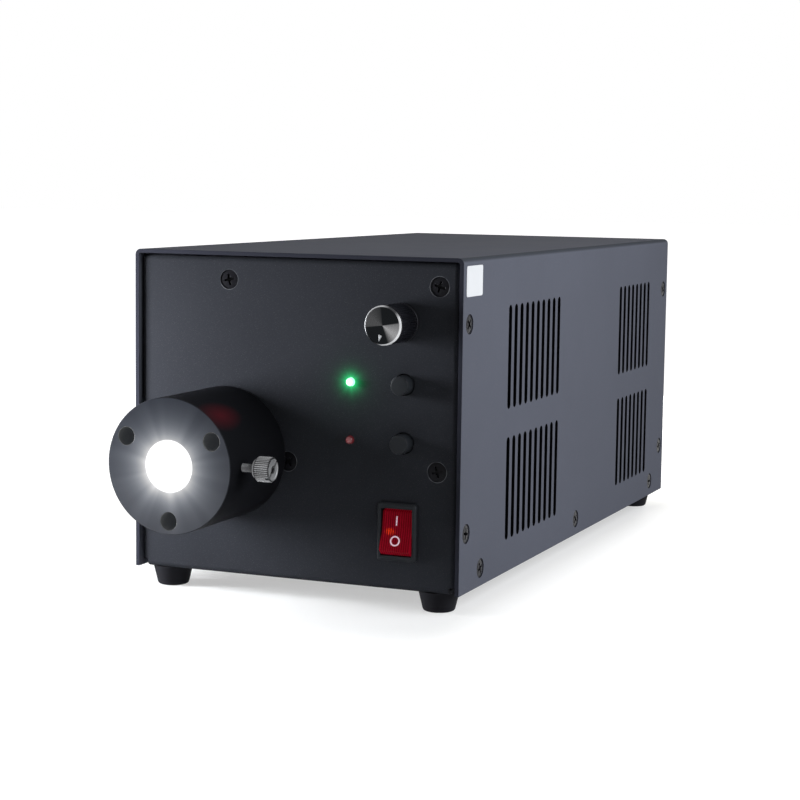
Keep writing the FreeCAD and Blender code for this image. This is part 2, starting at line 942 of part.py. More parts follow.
def lens(start):
    """A glass lens with both faces domed inside a flat rim, its rim's front at a distance from the panel."""
    clear = lens_radius - spacer_wall - sliding_fit
    front_tip = point(0, 0, -lens_bulge)
    back_tip = point(0, 0, lens_edge + lens_bulge)
    front_foot = point(clear, 0, 0)
    back_foot = point(clear, 0, lens_edge)
    dome_radius = (clear ** 2 + lens_bulge ** 2) / (2 * lens_bulge)
    half_turn = math.asin(clear / dome_radius) / 2
    across = dome_radius * math.sin(half_turn)
    drop = dome_radius * (1 - math.cos(half_turn))
    rim_front = point(lens_radius, 0, 0)
    rim_back = point(lens_radius, 0, lens_edge)
    outline = Part.Wire([
        Part.makeLine(back_tip, front_tip),
        Part.Arc(front_tip, front_tip + point(across, 0, drop), front_foot).toShape(),
        Part.makeLine(front_foot, rim_front),
        Part.makeLine(rim_front, rim_back),
        Part.makeLine(rim_back, back_foot),
        Part.Arc(back_foot, back_tip + point(across, 0, -drop), back_tip).toShape(),
    ])
    body = Part.Face(outline).revolve(point(0, 0, 0), UP, 360)
    return placed(body, point(tube_x, start, tube_z), BACK)


def make_front_lens():
    return lens(lens_seat)


def make_rear_lens():
    return lens(lens_seat + lens_edge + spacer_length)


def make_lens_spacer():
    start = point(tube_x, lens_seat + lens_edge, tube_z)
    return pipe(start, BACK, spacer_length, lens_radius, lens_radius - spacer_wall)


def make_lens_retainer():
    start = point(tube_x, retainer_start, tube_z)
    return pipe(start, BACK, retainer_length, barrel_bore - thread_fit, lens_radius - spacer_wall)


def make_lamp_emitter():
    place = point(tube_x, emitter_face + emitter_thickness / 2, tube_z)
    return centred_block(place, emitter_width, emitter_thickness, emitter_width)


def make_lamp_board():
    place = point(tube_x, lamp_board_face + lamp_board_thickness / 2, tube_z)
    return centred_block(place, lamp_board_width, lamp_board_thickness, lamp_board_width)


def make_heat_sink():
    left = tube_x - sink_width / 2
    top = sink_bottom + sink_height
    solids = [block(left, left + sink_width, sink_face, sink_face + sink_plate, sink_bottom, top)]
    pitch = (sink_width - sink_fin) / (sink_fins - 1)
    for index in range(sink_fins):
        x = left + pitch * index
        solids.append(block(x, x + sink_fin, sink_face, sink_back, sink_bottom, top))
    return fused(solids)


def make_heat_sink_stand():
    """A bracket of folded sheet: two feet turned in on the base and a table under the fins."""
    half = stand_half_width()
    table_low = sink_bottom - stand_wall
    solids = [block(tube_x - half, tube_x + half, sink_face, sink_back, table_low, sink_bottom)]
    for side in (-1, 1):
        outer = tube_x + side * half
        inner = outer - side * stand_wall
        toe = outer - side * stand_foot
        low, high = sorted((inner, outer))
        solids.append(block(low, high, sink_face, sink_back, tray_wall, sink_bottom))
        low, high = sorted((outer, toe))
        solids.append(block(low, high, sink_face, sink_back, tray_wall, tray_wall + stand_wall))
    holes = []
    for x, y in stand_screw_places():
        holes.append(thread_hole(point(x, y, 0), UP, tray_wall + stand_wall + overrun))
    return cut_all(fused(solids), holes)


def make_stand_screws():
    seat_z = tray_wall + stand_wall
    screw = pan_screw(stand_screw_length - thread_tip)
    return group([placed(screw, point(x, y, seat_z), DOWN) for x, y in stand_screw_places()])


def make_knob():
    """The knurled body, with a socket over the nut and a bore on the shaft."""
    start = panel_face - knob_lift - knob_skirt_thickness
    length = knob_face - knob_cap_thickness + start
    body = placed(knurled(knob_radius, knob_knurl_depth, knob_knurl_count, length),
                  point(knob_x, start, knob_z), FRONT)
    socket_depth = pot_bush_reach + knob_skirt_thickness
    socket = rod(point(knob_x, panel_face, knob_z), FRONT, socket_depth, knob_socket_radius)
    bore = rod(point(knob_x, panel_face, knob_z), FRONT, pot_shaft_end(), pot_shaft_radius)
    return body.cut(socket).cut(bore)


def pot_shaft_end():
    """How far the shaft reaches in front of the panel's face."""
    return knob_face + panel_face - 2 * knob_cap_thickness


def make_knob_skirt():
    start = point(knob_x, panel_face - knob_lift, knob_z)
    return pipe(start, FRONT, knob_skirt_thickness, knob_radius, knob_socket_radius)


def make_knob_cap():
    """The turned metal disc on the knob's end."""
    disc = turned([
        (0, 0),
        (knob_radius, 0),
        (knob_radius, knob_cap_thickness - knob_cap_chamfer),
        (knob_radius - knob_cap_chamfer, knob_cap_thickness),
        (0, knob_cap_thickness),
    ])
    return placed(disc, point(knob_x, knob_cap_thickness - knob_face, knob_z), FRONT)


def make_pot_shaft():
    """The shaft, with the rotor disc that turns inside the potentiometer."""
    rotor_start = panel_back + pot_wall + running_fit
    rotor = rod(point(knob_x, rotor_start, knob_z), BACK, pot_rotor_thickness, pot_rotor_radius)
    front = panel_face - pot_shaft_end()
    length = rotor_start + pot_rotor_thickness - front
    shaft = rod(point(knob_x, front, knob_z), BACK, length, pot_shaft_radius)
    return fused([rotor, shaft])


def make_potentiometer():
    start = point(knob_x, panel_back, knob_z)
    can = rod(start, BACK, pot_body_depth, pot_body_radius)
    bush_start = point(knob_x, panel_face - pot_bush_reach, knob_z)
    bush_length = pot_bush_reach + tray_wall + pot_wall
    bush = rod(bush_start, BACK, bush_length, pot_bush_radius)
    shaft_hole = rod(bush_start, BACK, bush_length + running_fit, pot_shaft_radius + running_fit)
    chamber_start = start + BACK * pot_wall
    chamber_depth = pot_rotor_thickness + 2 * running_fit
    chamber = rod(chamber_start, BACK, chamber_depth, pot_rotor_radius + running_fit)
    pin_start = point(knob_x, panel_back + pot_body_depth, knob_z - pot_body_radius / 2)
    pins = block(pin_start.x - pot_shaft_radius, pin_start.x + pot_shaft_radius, pin_start.y, board_face,
                 pin_start.z - pot_wall, pin_start.z + pot_wall)
    return cut_all(fused([can, bush, pins]), [shaft_hole, chamber])


def make_pot_nut():
    nut = hexagon(pot_nut_flats, pot_nut_thickness)
    nut = nut.cut(rod(point(0, 0, 0), UP, pot_nut_thickness, pot_bush_radius + thread_fit))
    return placed(nut, point(knob_x, panel_face, knob_z), FRONT)


def make_button(z):
    """A push cap: head through the panel, flange behind it, and stem into its switch."""
    head_end = button_reach + tray_wall + seat_gap
    flange_end = head_end + button_flange
    cap = turned([
        (0, 0),
        (button_radius - button_chamfer, 0),
        (button_radius, button_chamfer),
        (button_radius, head_end),
        (button_flange_radius, head_end),
        (button_flange_radius, flange_end),
        (button_stem_radius, flange_end),
        (button_stem_radius, flange_end + button_stem_length),
        (0, flange_end + button_stem_length),
    ])
    return placed(cap, point(button_x, panel_face - button_reach, z), BACK)


def make_button_switches():
    """The two push switches on the board, each with a well for the cap's stem and its travel."""
    switches = []
    stem_end = button_back + button_stem_length
    for z in row_heights:
        place = point(button_x, board_face - switch_depth / 2, z)
        body = centred_block(place, switch_width, switch_depth, switch_width)
        well_start = point(button_x, board_face - switch_depth, z)
        well_depth = stem_end + button_travel + sliding_fit - well_start.y
        well = rod(well_start, BACK, well_depth, button_stem_radius + running_fit)
        switches.append(body.cut(well))
    return group(switches)


def make_button_spring(z):
    """The coil that returns a button, between its flange and its switch."""
    start = button_back + spring_wire + seat_gap
    end = board_face - switch_depth - spring_wire - seat_gap
    length = end - start
    helix = Part.makeLongHelix(length / spring_turns, length, spring_radius)
    rim = Part.Wire(Part.makeCircle(spring_wire, point(spring_radius, 0, 0), BACK))
    coil = Part.Wire(helix.Edges).makePipeShell([rim], True, True)
    return placed(coil, point(button_x, start, z), BACK)


def make_signal_lamp(z):
    """A small lamp: domed body in the panel's hole, flange behind it, and two legs to the board."""
    dome_y = panel_face - lamp_reach + lamp_radius
    flange_y = panel_back + seat_gap
    dome = Part.makeSphere(lamp_radius, point(lamp_x, dome_y, z))
    body = rod(point(lamp_x, dome_y, z), BACK, flange_y + lamp_flange - dome_y, lamp_radius)
    flange = rod(point(lamp_x, flange_y, z), BACK, lamp_flange, lamp_flange_radius)
    solids = [dome, body, flange]
    for side in (-1, 1):
        leg_start = point(lamp_x + side * lamp_leg_spacing / 2, flange_y + lamp_flange / 2, z)
        solids.append(rod(leg_start, BACK, board_face - leg_start.y, lamp_leg_radius))
    return fused(solids)


def make_led_spacers():
    start = panel_back + seat_gap + lamp_flange
    length = board_face - start
    spacers = []
    for z in row_heights:
        spacers.append(pipe(point(lamp_x, start, z), BACK, length, lamp_flange_radius, lamp_spacer_bore))
    return group(spacers)


def make_control_standoffs():
    standoffs = []
    for x, z in panel_screw_places:
        body = rod(point(x, panel_back, z), BACK, standoff_length, standoff_radius)
        front_hole = placed(flat_screw_hole(panel_screw_length + running_fit), point(x, panel_face, z), BACK)
        rear_hole = thread_hole(point(x, board_back, z), FRONT, board_screw_length + running_fit)
        standoffs.append(cut_all(body, [front_hole, rear_hole]))
    return group(standoffs)


def make_control_board():
    """A board on four standoffs, stepped round the lens barrel."""
    xs = [x for x, z in panel_screw_places]
    zs = [z for x, z in panel_screw_places]
    right = max(xs) + board_margin
    left = min(xs) - board_margin
    top = max(zs) + board_margin
    bottom = min(zs) - board_margin
    board = block(left, right, board_face, board_back, bottom, top)
    step_x = tube_x + barrel_radius + board_margin / 4
    step_z = tube_z + barrel_radius + board_margin / 4
    step = block(left - overrun, step_x, board_face - overrun, board_back + overrun,
                 bottom - overrun, step_z)
    holes = [thread_hole(point(x, board_face, z), BACK, board_thickness) for x, z in panel_screw_places]
    return cut_all(board, [step] + holes)


def make_board_screws():
    """Screws that hold the control board to its standoffs and the other boards to theirs."""
    screw = pan_screw(board_screw_length)
    screws = [placed(screw, point(x, board_back, z), FRONT) for x, z in panel_screw_places]
    top = base_board_z + board_thickness
    for x, y in base_standoff_places():
        screws.append(placed(screw, point(x, y, top), DOWN))
    return group(screws)


# Parts on the control board, as shares of the way between its button and lamp columns
# and of its height between the two rows of screws: place across, place up, width, height.
control_part_shares = (
    (0.5, 0.25, 0.6, 0.16),
    (0.45, 0.62, 0.4, 0.1),
    (-0.7, 0.8, 0.5, 0.1),
    (-1.4, 0.75, 0.3, 0.14),
)


def make_control_parts():
    span_x = button_x - lamp_x
    span_z = knob_z - switch_z
    parts = []
    for across, up, width, height in control_part_shares:
        place_z = row_heights[1] + up * span_z / 2
        place = point(lamp_x + across * span_x, board_back + chip_height / 2, place_z)
        parts.append(centred_block(place, width * span_x, chip_height, height * span_z))
    return group(parts)


def make_switch_housing():
    """The power switch's frame: bezel on the panel, body through it, and the rocker's well."""
    front = panel_face - bezel_proud
    place = point(switch_x, panel_face - bezel_proud / 2, switch_z)
    bezel = centred_block(place, bezel_width, bezel_proud, bezel_height)
    bezel = round_edges(bezel, bezel_corner, BACK)
    rim = [edge for edge in bezel.Edges if abs(edge.CenterOfMass.y - front) < running_fit]
    bezel = bezel.makeChamfer(bezel_chamfer, rim)
    body_place = point(switch_x, panel_face + housing_depth / 2, switch_z)
    body = centred_block(body_place, housing_width, housing_depth, housing_height)
    well_depth = housing_depth + bezel_proud - housing_wall
    well_place = point(switch_x, front + well_depth / 2 - overrun / 2, switch_z)
    well = centred_block(well_place, window_width, well_depth + overrun, window_height)
    pin_length = window_width + 2 * (rocker_pin_length + running_fit)
    pin_start = point(switch_x - pin_length / 2, rocker_pivot_y, switch_z)
    pin_holes = rod(pin_start, RIGHT, pin_length, rocker_pin_radius + running_fit)
    return cut_all(fused([bezel, body]), [well, pin_holes])


def rocker_outline():
    """The rocker's side view about its pivot, as (forward, up) pairs, before it is tilted.

    The two halves of the face lean forward from the middle to their ends, less than the rocker
    tilts, so the pressed half lies inside the bezel. Each half ends in a nose, and from there the
    end slopes back to a shoulder that swings just clear of the well's wall.
    """
    tilt = math.radians(rocker_tilt_angle)
    rise = math.tan(math.radians(rocker_face_angle))
    wall = window_height / 2 - rocker_end_gap
    middle = (rocker_pivot_depth - rocker_sunk) / math.cos(tilt)
    reach = (wall - middle * math.sin(tilt)) / (math.cos(tilt) + rise * math.sin(tilt))
    tip_up = reach - rocker_nose
    tip_forward = middle + tip_up * rise
    shoulder_up = math.sqrt(wall ** 2 - rocker_shoulder ** 2)
    upper = [
        (tip_forward, tip_up),
        (rocker_shoulder, shoulder_up),
        (-rocker_tail, rocker_tail_half),
    ]
    lower = [(forward, -up) for forward, up in reversed(upper)]
    return [(middle, 0)] + upper + lower


def make_rocker():
    """The rocker with its upper half pressed in, which is on."""
    width = window_width - 2 * rocker_side_gap
    left = switch_x - width / 2
    corners = [point(left, rocker_pivot_y - forward, switch_z + up) for forward, up in rocker_outline()]
    body = prism(corners, RIGHT * width)
    pin_length = window_width + 2 * rocker_pin_length
    pin_start = point(switch_x - pin_length / 2, rocker_pivot_y, switch_z)
    pins = rod(pin_start, RIGHT, pin_length, rocker_pin_radius)
    whole = fused([body, pins])
    whole.rotate(point(switch_x, rocker_pivot_y, switch_z), RIGHT, -rocker_tilt_angle)
    return whole


def terminal_tips():
    """Where the switch's three tabs end, top to bottom."""
    back = panel_face + housing_depth + terminal_length
    return [point(switch_x, back, switch_z + step * terminal_pitch) for step in (1, 0, -1)]


def make_switch_terminals():
    tabs = []
    for tip in terminal_tips():
        place = tip + FRONT * (terminal_length / 2)
        tabs.append(centred_block(place, terminal_width, terminal_length, terminal_thickness))
    return group(tabs)


def make_fan_frame():
    """The square frame with its bore, and the motor's boss on four struts at the panel."""
    place = point(fan_x, fan_front + fan_depth / 2, fan_z)
    frame = centred_block(place, fan_width, fan_depth, fan_width)
    frame = round_edges(frame, fan_corner, BACK)
    bore = rod(point(fan_x, fan_front - overrun, fan_z), BACK, fan_depth + 2 * overrun, fan_bore)
    holes = [thread_hole(centre, BACK, fan_depth) for centre in fan_corner_centres(fan_front)]
    frame = cut_all(frame, [bore] + holes)
    boss_start = rear_inside - fan_boss_depth
    solids = [frame, rod(point(fan_x, boss_start, fan_z), BACK, fan_boss_depth, fan_boss_radius)]
    strut_length = fan_bore + fan_strut_width / 4
    strut = block(0, strut_length, rear_inside - fan_strut_depth, rear_inside,
                  -fan_strut_width / 2, fan_strut_width / 2)
    for index in range(fan_struts):
        turn = 360 * (index + 0.5) / fan_struts
        arm = strut.copy()
        arm.rotate(point(0, 0, 0), BACK, turn)
        arm.translate(point(fan_x, 0, fan_z))
        solids.append(arm)
    bearing_length = fan_shaft_length + fan_hub_gap
    bearing = rod(point(fan_x, boss_start - overrun, fan_z), BACK, bearing_length + overrun,
                  fan_shaft_radius + running_fit)
    return fused(solids).cut(bearing)


def fan_blade(length):
    """One twisted blade, drawn along X from the hub's inside to its tip, just short of the bore."""
    sections = []
    half_chord = min(fan_blade_chord, length - 2 * seat_gap) / 2
    tip_side = half_chord * math.sin(math.radians(fan_blade_tip_angle)) + fan_blade_thickness
    tip_reach = math.sqrt((fan_bore - fan_tip_gap) ** 2 - tip_side ** 2)
    for reach, angle in ((fan_hub_radius - fan_blade_root, fan_blade_root_angle),
                         (tip_reach, fan_blade_tip_angle)):
        lean = math.radians(angle)
        along = point(0, math.cos(lean), math.sin(lean)) * half_chord
        aside = point(0, -math.sin(lean), math.cos(lean)) * (fan_blade_thickness / 2)
        middle = point(reach, length / 2, 0)
        corners = [
            middle - along - aside,
            middle + along - aside,
            middle + along + aside,
            middle - along + aside,
        ]
        sections.append(Part.makePolygon(corners + corners[:1]))
    return Part.makeLoft(sections, True, True)


def make_fan_rotor():
    boss_start = rear_inside - fan_boss_depth
    hub_length = fan_depth - fan_boss_depth - 2 * fan_hub_gap
    hub_start = fan_front + fan_hub_gap
    solids = [rod(point(fan_x, hub_start, fan_z), BACK, hub_length, fan_hub_radius)]
    shaft_length = boss_start + fan_shaft_length - hub_start
    solids.append(rod(point(fan_x, hub_start, fan_z), BACK, shaft_length, fan_shaft_radius))
    blade = fan_blade(hub_length)
    for index in range(fan_blades):
        copy = blade.copy()
        copy.rotate(point(0, 0, 0), BACK, 360 * index / fan_blades)
        copy.translate(point(fan_x, hub_start, fan_z))
        solids.append(copy)
    return fused(solids)


def make_fan_guard():
    """Wire rings on four radial wires that end in eyes under the fan's screws."""
    wire_y = rear_face + guard_wire
    ring_y = wire_y + 2 * guard_wire - guard_overlap
    centre = point(fan_x, wire_y, fan_z)
    spokes = []
    for corner in fan_corner_centres(wire_y):
        outward = (corner - centre).normalize()
        spoke_start = centre + outward * (guard_ring_shares[0] * fan_bore - guard_wire / 2)
        spoke_length = (corner - spoke_start).Length - pan_thread_radius
        spokes.append(rod(spoke_start, outward, spoke_length, guard_wire))
        eye_start = point(corner.x, rear_face, corner.z)
        spokes.append(rod(eye_start, BACK, 2 * guard_wire, guard_eye_radius))
    guard = spokes[0].multiFuse(spokes[1:])
    for share in guard_ring_shares:
        ring = Part.makeTorus(share * fan_bore, guard_wire, point(fan_x, ring_y, fan_z), BACK)
        guard = guard.fuse(ring)
    holes = [thread_hole(corner, BACK, 4 * guard_wire) for corner in fan_corner_centres(rear_face)]
    return cut_all(guard, holes)


def make_fan_screws():
    screw = pan_screw(fan_screw_length)
    return group([placed(screw, centre, FRONT) for centre in fan_corner_centres(guard_face)])


def socket_shape(width, height, corner, y, depth):
    """The mains socket's outline, with the two corners on the left cut off, made a solid."""
    right = socket_x + width / 2
    left = socket_x - width / 2
    top = inlet_z + height / 2
    bottom = inlet_z - height / 2
    corners = [
        point(right, y, bottom),
        point(right, y, top),
        point(left + corner, y, top),
        point(left, y, top - corner),
        point(left, y, bottom + corner),
        point(left + corner, y, bottom),
    ]
    return prism(corners, BACK * depth)


def make_mains_inlet():
    plate_place = point(inlet_x, rear_face + inlet_plate / 2, inlet_z)
    plate = centred_block(plate_place, inlet_plate_width, inlet_plate, inlet_plate_height)
    plate = round_edges(plate, inlet_corner, BACK)
    body_place = point(inlet_x, inlet_face - inlet_body_depth / 2, inlet_z)
    body = centred_block(body_place, inlet_body_width, inlet_body_depth, inlet_body_height)
    cuts = [socket_shape(socket_width, socket_height, socket_corner, socket_floor, socket_depth + overrun)]
    slot_place = point(drawer_x, inlet_face - drawer_depth / 2 + overrun / 2, inlet_z)
    slot_width = drawer_width + 2 * sliding_fit
    slot_height = drawer_height + 2 * sliding_fit
    cuts.append(centred_block(slot_place, slot_width, drawer_depth + overrun, slot_height))
    screw_hole = flat_screw_hole(inlet_plate + overrun)
    for centre in inlet_screw_centres(inlet_face):
        cuts.append(placed(screw_hole, centre, FRONT))
    for tab in inlet_pin_boxes(seat_gap):
        cuts.append(tab)
    return cut_all(fused([plate, body]), cuts)


def inlet_pin_boxes(allowance):
    """The three blades, upright in the socket and out through the body's back."""
    boxes = []
    places = ((0, pin_spacing / 2), (0, -pin_spacing / 2), (-pin_offset, 0))
    for across, up in places:
        start = inlet_end - pin_tail
        end = socket_floor + pin_reach
        middle = point(socket_x + across, (start + end) / 2, inlet_z + up)
        width = pin_breadth + 2 * allowance
        height = pin_thickness + 2 * allowance
        boxes.append(centred_block(middle, width, end - start, height))
    return boxes


def make_inlet_pins():
    return group(inlet_pin_boxes(0))


def make_inlet_screws():
    screw = flat_screw(inlet_screw_length)
    return group([placed(screw, centre, FRONT) for centre in inlet_screw_centres(inlet_face)])


def make_fuse_drawer():
    """A small drawer with a grip lip, hollowed for its fuse."""
    depth = drawer_depth - sliding_fit
    place = point(drawer_x, inlet_face - depth / 2, inlet_z)
    body = centred_block(place, drawer_width, depth, drawer_height)
    lip_place = point(drawer_x, inlet_face + drawer_lip / 2, inlet_z)
    lip = centred_block(lip_place, drawer_width, drawer_lip, drawer_height)
    hollow_start = inlet_face - depth
    hollow_depth = depth - 4 * drawer_wall
    hollow_place = point(drawer_x, hollow_start + hollow_depth / 2 - overrun / 2, inlet_z)
    hollow = centred_block(hollow_place, drawer_width - 2 * drawer_wall, hollow_depth + overrun,
                           drawer_height - 2 * drawer_wall)
    return fused([body, lip]).cut(hollow)


def make_fuse():
    """A glass fuse with its two metal ends, upright near the drawer's front."""
    y = inlet_face - 4 * drawer_wall - fuse_radius - seat_gap
    start = point(drawer_x, y, inlet_z - fuse_length / 2)
    glass = rod(start, UP, fuse_length, fuse_radius - drawer_wall / 4)
    lower_cap = rod(start, UP, fuse_cap_length, fuse_radius)
    upper_cap = rod(start + UP * (fuse_length - fuse_cap_length), UP, fuse_cap_length, fuse_radius)
    return fused([glass, lower_cap, upper_cap])


def make_base_board(x0, width, y0, length):
    board = block(x0, x0 + width, y0, y0 + length, base_board_z, base_board_z + board_thickness)
    holes = []
    for x, y in base_board_corners(x0, width, y0, length):
        holes.append(thread_hole(point(x, y, base_board_z), UP, board_thickness))
    return cut_all(board, holes)


def make_board_standoffs():
    standoffs = []
    bore = pan_thread_radius + thread_fit
    for x, y in base_standoff_places():
        start = point(x, y, tray_wall)
        standoffs.append(pipe(start, UP, base_standoff_length, base_standoff_radius, bore))
    return group(standoffs)


def board_spot(x0, width, y0, length, across, along):
    """A place on a board's upper face, from shares of its width and length."""
    return point(x0 + across * width, y0 + along * length, base_board_z + board_thickness)


def standing_block(place, width, depth, height):
    return centred_block(place + UP * (height / 2), width, depth, height)


# Supply board, as shares of its width and length: place across, place along, width, length
transformer_share = (0.55, 0.42, 0.5, 0.24)
input_block_share = (0.36, 0.9, 0.36, 0.1)
output_block_share = (0.35, 0.09, 0.3, 0.08)
heat_plate_share = (0.93, 0.5, 0.04, 0.6)
capacitor_share = (0.4, 0.68, 0.16, 0.16)
choke_share = (0.74, 0.68, 0.15, 0.15)


def supply_spot(share):
    return board_spot(supply_x, supply_width, supply_start, supply_length, share[0], share[1])


def supply_block(share, height):
    return standing_block(supply_spot(share), share[2] * supply_width, share[3] * supply_length, height)


def make_supply_parts():
    """Transformer, terminals, heat plate, capacitor and choke on the supply board."""
    transformer = supply_block(transformer_share, coil_height)
    terminals_in = supply_block(input_block_share, block_height)
    terminals_out = supply_block(output_block_share, block_height)
    plate_place = supply_spot(heat_plate_share)
    plate = standing_block(plate_place, plate_thickness, heat_plate_share[3] * supply_length, plate_height)
    capacitor = rod(supply_spot(capacitor_share), UP, can_height, capacitor_share[2] * supply_width)
    choke_radius = choke_share[2] * supply_width
    choke = pipe(supply_spot(choke_share), UP, block_height, choke_radius, choke_radius / 2)
    return group([transformer, terminals_in, terminals_out, plate, capacitor, choke])


# Driver board, as shares of its width and length in the same order
inductor_share = (0.3, 0.5, 0.18, 0.18)
driver_can_shares = ((0.75, 0.3, 0.12, 0.066), (0.75, 0.5, 0.12, 0.066), (0.75, 0.7, 0.12, 0.066))
driver_lamp_block_share = (0.4, 0.1, 0.34, 0.09)
driver_feed_block_share = (0.42, 0.91, 0.34, 0.09)


def driver_spot(share):
    return board_spot(driver_x, driver_width, driver_start, driver_length, share[0], share[1])


def driver_block(share, height):
    return standing_block(driver_spot(share), share[2] * driver_width, share[3] * driver_length, height)


def make_driver_parts():
    """Inductor, capacitors and terminal blocks on the driver board."""
    radius = inductor_share[2] * driver_width
    parts = [pipe(driver_spot(inductor_share), UP, block_height, radius, radius / 2)]
    for share in driver_can_shares:
        parts.append(rod(driver_spot(share), UP, can_height, share[3] * driver_length))
    parts.append(driver_block(driver_lamp_block_share, block_height))
    parts.append(driver_block(driver_feed_block_share, block_height))
    return group(parts)


def inlet_wires():
    """From the inlet's blades along the right side to the power switch."""
    side_x = tray_half - tray_wall - wire_side_inset
    start = point(socket_x, inlet_end - pin_tail, inlet_z + pin_spacing / 2)
    tip = terminal_tips()[0]
    lead = 2 * wire_bend
    return loom([
        start,
        start + FRONT * lead,
        point(side_x, start.y - 2 * lead, wire_height),
        point(side_x, tip.y + 2 * lead, wire_height),
        point(tip.x, tip.y + lead, tip.z),
        tip,
    ], mains_wire_radius)


def supply_wires():
    """From the power switch, round the heat sink, back to the supply board's input."""
    tip = terminal_tips()[2]
    lead = 2 * wire_bend
    block_place = supply_spot(input_block_share)
    goal = block_place + point(input_block_share[2] * supply_width / 2, 0, block_height / 2)
    low_z = base_board_z + board_thickness / 2
    sink_lane_x = tube_x + sink_width / 2 + wire_bend
    board_lane_x = (supply_x + supply_width + driver_x) / 2
    crossing_y = sink_back + driver_sink_gap / 2
    return loom([
        tip,
        tip + BACK * lead,
        point(sink_lane_x, tip.y + 3 * lead, low_z),
        point(sink_lane_x, crossing_y, low_z),
        point(board_lane_x, crossing_y, low_z),
        point(board_lane_x, goal.y - 2 * lead, low_z),
        point(board_lane_x, goal.y - lead, goal.z),
        point(board_lane_x - wire_bend, goal.y, goal.z),
        goal,
    ], mains_wire_radius)


def make_mains_wires():
    return group([inlet_wires(), supply_wires()])


def lamp_wires():
    """From the driver's front terminals, along the heat sink, to a corner of the lamp's board."""
    block_place = driver_spot(driver_lamp_block_share)
    start = block_place + point(0, -driver_lamp_block_share[3] * driver_length / 2, block_height / 2)
    corner = lamp_board_width / 2 - 2 * lamp_wire_radius
    goal = point(tube_x + corner, lamp_board_face, tube_z + corner)
    lane_x = tube_x + sink_width / 2 + wire_bend
    turn_y = lamp_board_face - 2 * wire_bend
    return loom([
        start,
        start + FRONT * wire_bend,
        point(lane_x, sink_back - 2 * wire_bend, goal.z),
        point(lane_x, turn_y, goal.z),
        point(goal.x, turn_y, goal.z),
        goal,
    ], lamp_wire_radius)


def fan_wires():
    """From the driver's rear terminals to the fan's frame."""
    block_place = driver_spot(driver_feed_block_share)
    start = block_place + point(0, driver_feed_block_share[3] * driver_length / 2, block_height / 2)
    goal = point(fan_x + fan_width / 2 - fan_corner, fan_front, fan_z)
    return loom([
        start,
        start + BACK * wire_bend,
        goal + FRONT * (2 * wire_bend),
        goal,
    ], fan_wire_radius)


def control_ribbon():
    """A flat ribbon from the control board down to the driver board."""
    x = driver_x + driver_width - ribbon_width
    top_z = row_heights[1]
    board_top = base_board_z + board_thickness
    back = driver_start + ribbon_landing_share * driver_length
    outline = [
        point(x, board_back, top_z),
        point(x, back, top_z),
        point(x, back, board_top),
        point(x, back - ribbon_thickness, board_top),
        point(x, back - ribbon_thickness, top_z - ribbon_thickness),
        point(x, board_back, top_z - ribbon_thickness),
    ]
    return prism(outline, RIGHT * ribbon_width)


def make_control_wires():
    """The low-voltage wires: lamp, fan and control board."""
    return group([lamp_wires(), fan_wires(), control_ribbon()])


def make_blank_label():
    top = cover_height - label_drop
    return block(case_half, case_half + label_thickness, label_inset, label_inset + label_depth,
                 top - label_height, top)


def save(name, shape):
    """Moves a piece from the case's frame to the bench's and writes it."""
    moved = shape.copy()
    moved.translate(shift)
    moved.exportStep("parts/" + name + ".step")


def make_all():
    """Every piece of the object by name."""
    return {
        "cover": make_cover(),
        "cover_screws": make_cover_screws(),
        "chassis_tray": make_chassis_tray(),
        "panel_screws": make_panel_screws(),
        "feet": make_feet(),
        "foot_screws": make_foot_screws(),
        "light_port_tube": make_light_port_tube(),
        "port_screws": make_port_screws(),
        "port_window": make_port_window(),
        "thumbscrew": make_thumbscrew(),
        "clamp_tip": make_clamp_tip(),
        "lens_barrel": make_lens_barrel(),
        "front_lens": make_front_lens(),
        "lens_spacer": make_lens_spacer(),
        "rear_lens": make_rear_lens(),
        "lens_retainer": make_lens_retainer(),
        "lamp_emitter": make_lamp_emitter(),
        "lamp_board": make_lamp_board(),
        "heat_sink": make_heat_sink(),
        "heat_sink_stand": make_heat_sink_stand(),
        "stand_screws": make_stand_screws(),
        "knob": make_knob(),
        "knob_skirt": make_knob_skirt(),
        "knob_cap": make_knob_cap(),
        "pot_shaft": make_pot_shaft(),
        "potentiometer": make_potentiometer(),
        "pot_nut": make_pot_nut(),
        "upper_button": make_button(row_heights[0]),
        "lower_button": make_button(row_heights[1]),
        "upper_button_spring": make_button_spring(row_heights[0]),
        "lower_button_spring": make_button_spring(row_heights[1]),
        "button_switches": make_button_switches(),
        "led_green": make_signal_lamp(row_heights[0]),
        "led_red": make_signal_lamp(row_heights[1]),
        "led_spacers": make_led_spacers(),
        "control_standoffs": make_control_standoffs(),
        "control_board": make_control_board(),
        "control_parts": make_control_parts(),
        "board_screws": make_board_screws(),
        "switch_housing": make_switch_housing(),
        "rocker": make_rocker(),
        "switch_terminals": make_switch_terminals(),
        "fan_frame": make_fan_frame(),
        "fan_rotor": make_fan_rotor(),
        "fan_guard": make_fan_guard(),
        "fan_screws": make_fan_screws(),
        "mains_inlet": make_mains_inlet(),
        "inlet_pins": make_inlet_pins(),
        "inlet_screws": make_inlet_screws(),
        "fuse_drawer": make_fuse_drawer(),
        "fuse": make_fuse(),
        "supply_board": make_base_board(supply_x, supply_width, supply_start, supply_length),
        "supply_parts": make_supply_parts(),
        "driver_board": make_base_board(driver_x, driver_width, driver_start, driver_length),
        "driver_parts": make_driver_parts(),
        "board_standoffs": make_board_standoffs(),
        "mains_wires": make_mains_wires(),
        "control_wires": make_control_wires(),
        "blank_label": make_blank_label(),
    }


pieces = make_all()
os.makedirs("parts", exist_ok=True)
for name, shape in pieces.items():
    save(name, shape)
    print(name, len(shape.Solids), "solids", shape.isValid(), round(shape.Volume, 1))
print(len(pieces), "pieces")
